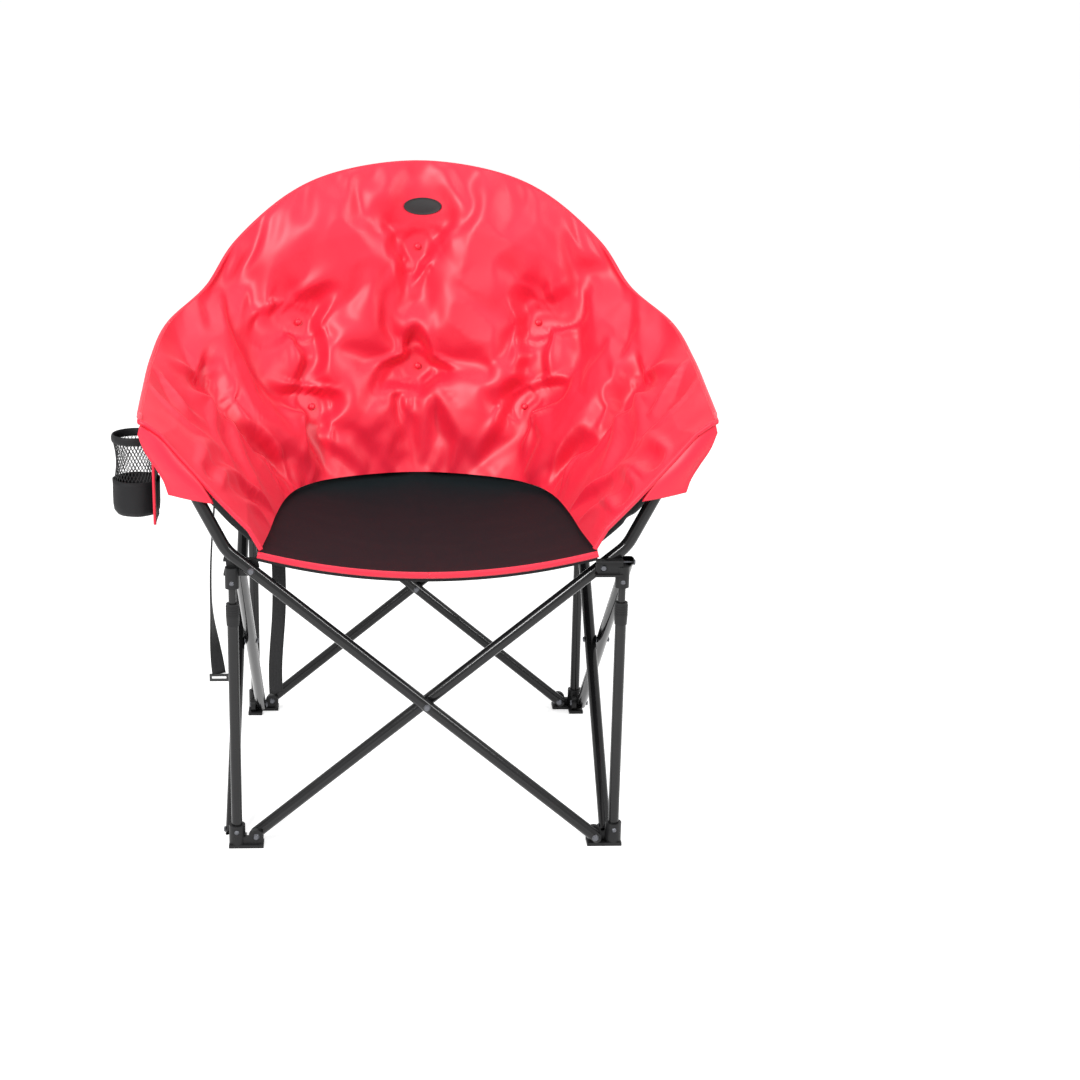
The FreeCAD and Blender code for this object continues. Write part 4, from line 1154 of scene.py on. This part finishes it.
class CHAIR_OT_pockets(Operator):
    """Sews the pockets that hold the back tubes to the lining"""

    bl_idname = "chair.pockets"
    bl_label = "Back pockets"

    def execute(self, context):
        for side, sign in (("left", -1), ("right", 1)):
            tube = side + "_back_tube"
            low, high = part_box(side + "_back_pocket")
            centre_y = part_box(tube)[1].y - BACK_TUBE_RADIUS
            reach = max(abs(low.x), abs(high.x)) - POCKET_INSET
            path = np.array([(sign * (reach - (high.z - z) * math.tan(POCKET_LEAN)), centre_y, z)
                             for z in np.linspace(low.z, high.z, len(POCKET_SWELL))])
            pocket = sweep(side + "_pocket_cloth", path, oval(POCKET_RADIUS, POCKET_RADIUS, POCKET_CORNERS),
                           (1, 0, 0), "lining", POCKET_SWELL)
            carry(pocket, tube, side + "_back_pocket")
            carry(pocket_web(side, path[1:-2]), tube)
        return {"FINISHED"}


def make_net(centre, radius, low_z, high_z):
    """Net wall of crossing threads, drawn in a little at its waist."""
    size = sizes()
    share = np.linspace(0, 1, NET_POINTS)
    section = oval(size.net_thread, size.net_thread, NET_CORNERS)
    points = []
    faces = []
    for turn in (1, -1):
        for strand in range(size.net_strands):
            angle = 2 * math.pi * strand / size.net_strands + turn * share * NET_TURN
            reach = radius - NET_INSET - NET_WAIST * np.sin(np.pi * share) + turn * NET_LAYER
            hints = np.stack([reach * np.cos(angle), reach * np.sin(angle), 0 * share], axis=1)
            path = hints + np.stack([0 * share + centre.x, 0 * share + centre.y,
                                     low_z + (high_z - low_z) * share], axis=1)
            rings = path[:, None] + section_offsets(path, section, hints)
            faces += ring_faces(len(points) + point_ids(rings))
            points += rings.reshape(-1, 3).tolist()
    return smooth_piece("cup_net", points, faces, "black_net")


def make_cup_base(foot, radius):
    """Round cloth base with slack in its wall."""
    ring = oval(1.0, 1.0, CUP_CORNERS)
    around, up = CUP_SLACK_SCALE
    rings = []
    for share, height in CUP_BASE_PROFILE:
        wave = np.array([noise.noise(Vector((around * x, around * y, up * height))) for x, y in ring])
        spread = ring * (radius * share * (1 - CUP_SLACK * share * wave))[:, None]
        rings.append(np.column_stack([spread, np.full(CUP_CORNERS, height)]) + foot)
    rings = np.array(rings)
    return ring_piece("cup_base", rings, "lining", cloth_lengths(rings))


def make_flap(low, high):
    """Thin upright cloth flap with a soft wave, in a box of the frame."""
    y = np.linspace(low.y, high.y, FLAP_POINTS)
    z = np.linspace(low.z, high.z, FLAP_POINTS)
    along, up = FLAP_WAVE_SCALE
    wave = np.array([[noise.noise(Vector((0, a * along, b * up))) for b in z] for a in y])
    front = np.stack([low.x - FLAP_WAVE * wave, *np.meshgrid(y, z, indexing="ij")], axis=-1)
    normals = facing_normals(front, (-1.0, 0.0, 0.0))
    return closed_piece("cup_flap", front, front + [high.x - low.x, 0, 0], normals, -normals,
                        ["lining"] * 3)


class CHAIR_OT_cup_holder(Operator):
    """Hangs the net cup holder on the left arm"""

    bl_idname = "chair.cup_holder"
    bl_label = "Cup holder"

    def execute(self, context):
        band_low, band_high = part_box("cup_holder_band")
        base_low, base_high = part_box("cup_holder_base")
        centre = (band_low + band_high) / 2
        radius = (band_high.x - band_low.x) / 2
        angles = np.linspace(0, 2 * math.pi, CUP_CORNERS + 1)
        circle = np.stack([np.cos(angles), np.sin(angles), 0 * angles], axis=1)
        hoop_path = circle * (radius - HOOP_INSET) + [*centre]
        hoop_path[-1, 1] += HOOP_GAP
        hoop = sweep("cup_hoop", hoop_path, oval(*HOOP_SECTION), circle, "lining")
        carry_cloth(hoop, "left", "cup_holder_band")
        net = make_net(centre, radius, base_high.z - NET_INTO_BASE, band_low.z + NET_INTO_BAND)
        carry_cloth(net, "left", "cup_holder_net")
        base = make_cup_base([centre.x, centre.y, base_low.z], radius)
        carry_cloth(base, "left", "cup_holder_base")
        low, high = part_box("cup_holder_flap")
        low = low + Vector(FLAP_LOW_SHIFT)
        high = high + Vector(FLAP_HIGH_SHIFT)
        flap = make_flap(low, high)
        carry_cloth(flap, "left", "cup_holder_flap")
        edge = [((low.x + high.x) / 2, low.y - FLAP_PIPING_SHIFT, z)
                for z in np.linspace(low.z, high.z, FLAP_POINTS)]
        section = oval(FLAP_PIPING_RADIUS, FLAP_PIPING_RADIUS)
        trim = sweep("cup_flap_piping", edge, section, (1, 0, 0), "red_binding")
        carry_cloth(trim, "left")
        return {"FINISHED"}


def route_points(name, route):
    """Points of the smooth line that a route's points draw."""
    curve = bpy.data.curves.new(name + "_route", "CURVE")
    curve.dimensions = "3D"
    line = curve.splines.new("NURBS")
    line.points.add(len(route) - 1)
    for point, place in zip(line.points, route):
        point.co = (*place, 1.0)
    line.order_u = ROUTE_ORDER
    line.use_endpoint_u = True
    line.resolution_u = ROUTE_STEPS
    holder = new_object(name + "_route", curve)
    bpy.context.view_layer.update()
    mesh = bpy.data.meshes.new_from_object(holder.evaluated_get(bpy.context.evaluated_depsgraph_get()))
    points = np.array([vertex.co for vertex in mesh.vertices])
    bpy.data.objects.remove(holder)
    bpy.data.meshes.remove(mesh)
    return points


class CHAIR_OT_straps(Operator):
    """Hangs the two webbing straps"""

    bl_idname = "chair.straps"
    bl_label = "Straps"

    def execute(self, context):
        size = sizes()
        half = np.array(WEBBING_HALF_SECTION) * [size.webbing_width / 2, size.webbing_thickness / 2]
        section = np.concatenate([half, -half])
        for name, route, body, far_end, fittings, twist_start in STRAPS:
            path = route_points(name, route)
            share = np.linspace(0, 1, len(path))
            turn = np.clip((share - twist_start) / TWIST_OVER, 0, 1) ** 2 * TWIST
            hints = np.stack([np.sin(turn), np.cos(turn), 0 * turn], axis=1)
            strap = sweep(name + "_webbing", path, section, hints, "black_webbing")
            carry(strap, body, name)
        return {"FINISHED"}


class CHAIR_OT_frame(Operator):
    """Gives the tubes, hubs, feet and rivets their finishes"""

    bl_idname = "chair.frame"
    bl_label = "Frame finishes"

    def execute(self, context):
        for row in frame["record"]["subparts"]:
            mesh = frame["nodes"][row["node"]].data
            mesh.materials.clear()
            mesh.materials.append(materials[row["material_slot"]])
        return {"FINISHED"}


# Floor, light and camera

def seen_rays(tree):
    """Socket that is 1 for rays from the camera, off shiny surfaces and through clear ones, else 0."""
    rays = add_node(tree, "ShaderNodeLightPath")
    seen = rays.outputs["Is Camera Ray"]
    for kind in ("Is Glossy Ray", "Is Transmission Ray"):
        either = add_node(tree, "ShaderNodeMath", {0: seen, 1: rays.outputs[kind]}, operation="MAXIMUM")
        seen = either.outputs[0]
    return seen


def add_floor():
    """Large pale floor that keeps the chair's shadow."""
    mesh = bpy.data.meshes.new("floor")
    corners = [(x * FLOOR_REACH, y * FLOOR_REACH, 0) for x, y in ((-1, -1), (1, -1), (1, 1), (-1, 1))]
    mesh.from_pydata(corners, [], [(0, 1, 2, 3)])
    floor = new_object("floor", mesh)
    material, tree, shader = start_material("pale studio floor")
    shader.inputs["Base Color"].default_value = rgba(colours().floor)
    shader.inputs["Roughness"].default_value = FLOOR_ROUGHNESS
    shader.inputs["Specular IOR Level"].default_value = FLOOR_GLOSS
    strength = add_node(tree, "ShaderNodeMath", {0: seen_rays(tree), 1: FLOOR_GLOW}, operation="MULTIPLY")
    glow = add_node(tree, "ShaderNodeEmission", {"Strength": strength.outputs[0]})
    both = add_node(tree, "ShaderNodeAddShader", {0: shader.outputs[0], 1: glow.outputs[0]})
    tree.links.new(both.outputs[0], tree.nodes["Material Output"].inputs["Surface"])
    mesh.materials.append(material)


def add_world(scene):
    """Even white surround: softer as light than as a background."""
    scene.world = bpy.data.worlds.new("white studio")
    scene.world.use_nodes = True
    tree = scene.world.node_tree
    strength = add_node(tree, "ShaderNodeMapRange",
                        {"Value": seen_rays(tree), "To Min": SURROUND_LIGHT, "To Max": 1.0})
    background = tree.nodes["Background"]
    background.inputs["Color"].default_value = (1.0, 1.0, 1.0, 1.0)
    tree.links.new(strength.outputs["Result"], background.inputs["Strength"])


def add_lamp(name, place, sides, power):
    """Soft lamp of a given width and height that faces the middle of the chair."""
    light = bpy.data.lights.new(name, "AREA")
    light.shape = "RECTANGLE"
    light.size, light.size_y = sides
    light.energy = power
    lamp = new_object(name, light)
    lamp.location = place
    lamp.rotation_euler = (Vector(LAMP_AIM) - Vector(place)).to_track_quat("-Z", "Y").to_euler()


def add_camera(scene):
    """Camera at the photograph's viewing angle."""
    data = bpy.data.cameras.new("photograph_camera")
    data.sensor_width = SENSOR_WIDTH
    data.lens = CAMERA_FOCAL_PIXELS / IMAGE_SIDE * SENSOR_WIDTH
    data.shift_x = (IMAGE_SIDE / 2 - CAMERA_CENTRE_PIXELS[0]) / IMAGE_SIDE
    data.shift_y = (CAMERA_CENTRE_PIXELS[1] - IMAGE_SIDE / 2) / IMAGE_SIDE
    level_ahead = Vector((math.sin(CAMERA_YAW), math.cos(CAMERA_YAW), 0))
    ahead = level_ahead * math.cos(CAMERA_PITCH) - Vector((0, 0, math.sin(CAMERA_PITCH)))
    level = Vector((math.cos(CAMERA_YAW), -math.sin(CAMERA_YAW), 0))
    right = level * math.cos(CAMERA_ROLL) + level.cross(ahead) * math.sin(CAMERA_ROLL)
    up = right.cross(ahead)
    camera = new_object("photograph_camera", data)
    turn = Matrix((right, up, -ahead)).transposed().to_4x4()
    camera.matrix_world = Matrix.Translation(CAMERA_PLACE) @ turn
    scene.camera = camera


class CHAIR_OT_stage(Operator):
    """Sets the floor, the light and the camera"""

    bl_idname = "chair.stage"
    bl_label = "Floor, light and camera"

    def execute(self, context):
        context.scene.view_settings.view_transform = "Standard"
        add_floor()
        add_world(context.scene)
        for lamp in LAMPS:
            add_lamp(*lamp)
        add_camera(context.scene)
        return {"FINISHED"}


PIECES = [CHAIR_OT_quilt, CHAIR_OT_piping, CHAIR_OT_tufts, CHAIR_OT_badge, CHAIR_OT_sleeves, CHAIR_OT_seat,
          CHAIR_OT_pockets, CHAIR_OT_cup_holder, CHAIR_OT_straps, CHAIR_OT_frame, CHAIR_OT_stage]


class CHAIR_PT_panel(Panel):
    """Lists the chair's pieces and sizes"""

    bl_label = "Camping Chair"
    bl_space_type = "VIEW_3D"
    bl_region_type = "UI"
    bl_category = "Camping Chair"

    def draw(self, context):
        for piece in PIECES:
            self.layout.operator(piece.bl_idname)
        for group in (context.scene.chair_sizes, context.scene.chair_colours):
            box = self.layout.box()
            for name in group.__annotations__:
                box.prop(group, name)


CLASSES = [ChairSizes, ChairColours, *PIECES, CHAIR_PT_panel]


def register():
    """Adds the chair's classes and settings."""
    for item in CLASSES:
        bpy.utils.register_class(item)
    bpy.types.Scene.chair_sizes = PointerProperty(type=ChairSizes)
    bpy.types.Scene.chair_colours = PointerProperty(type=ChairColours)


def unregister():
    """Takes the chair's classes and settings away."""
    del bpy.types.Scene.chair_colours
    del bpy.types.Scene.chair_sizes
    for item in reversed(CLASSES):
        bpy.utils.unregister_class(item)


def main():
    """Builds the chair."""
    register()
    make_materials()
    bpy.ops.chair.quilt()
    bpy.ops.chair.piping()
    bpy.ops.chair.tufts()
    bpy.ops.chair.badge()
    bpy.ops.chair.sleeves()
    bpy.ops.chair.seat()
    bpy.ops.chair.pockets()
    bpy.ops.chair.cup_holder()
    bpy.ops.chair.straps()
    bpy.ops.chair.frame()
    bpy.ops.chair.stage()


if __name__ == "__main__":
    main()
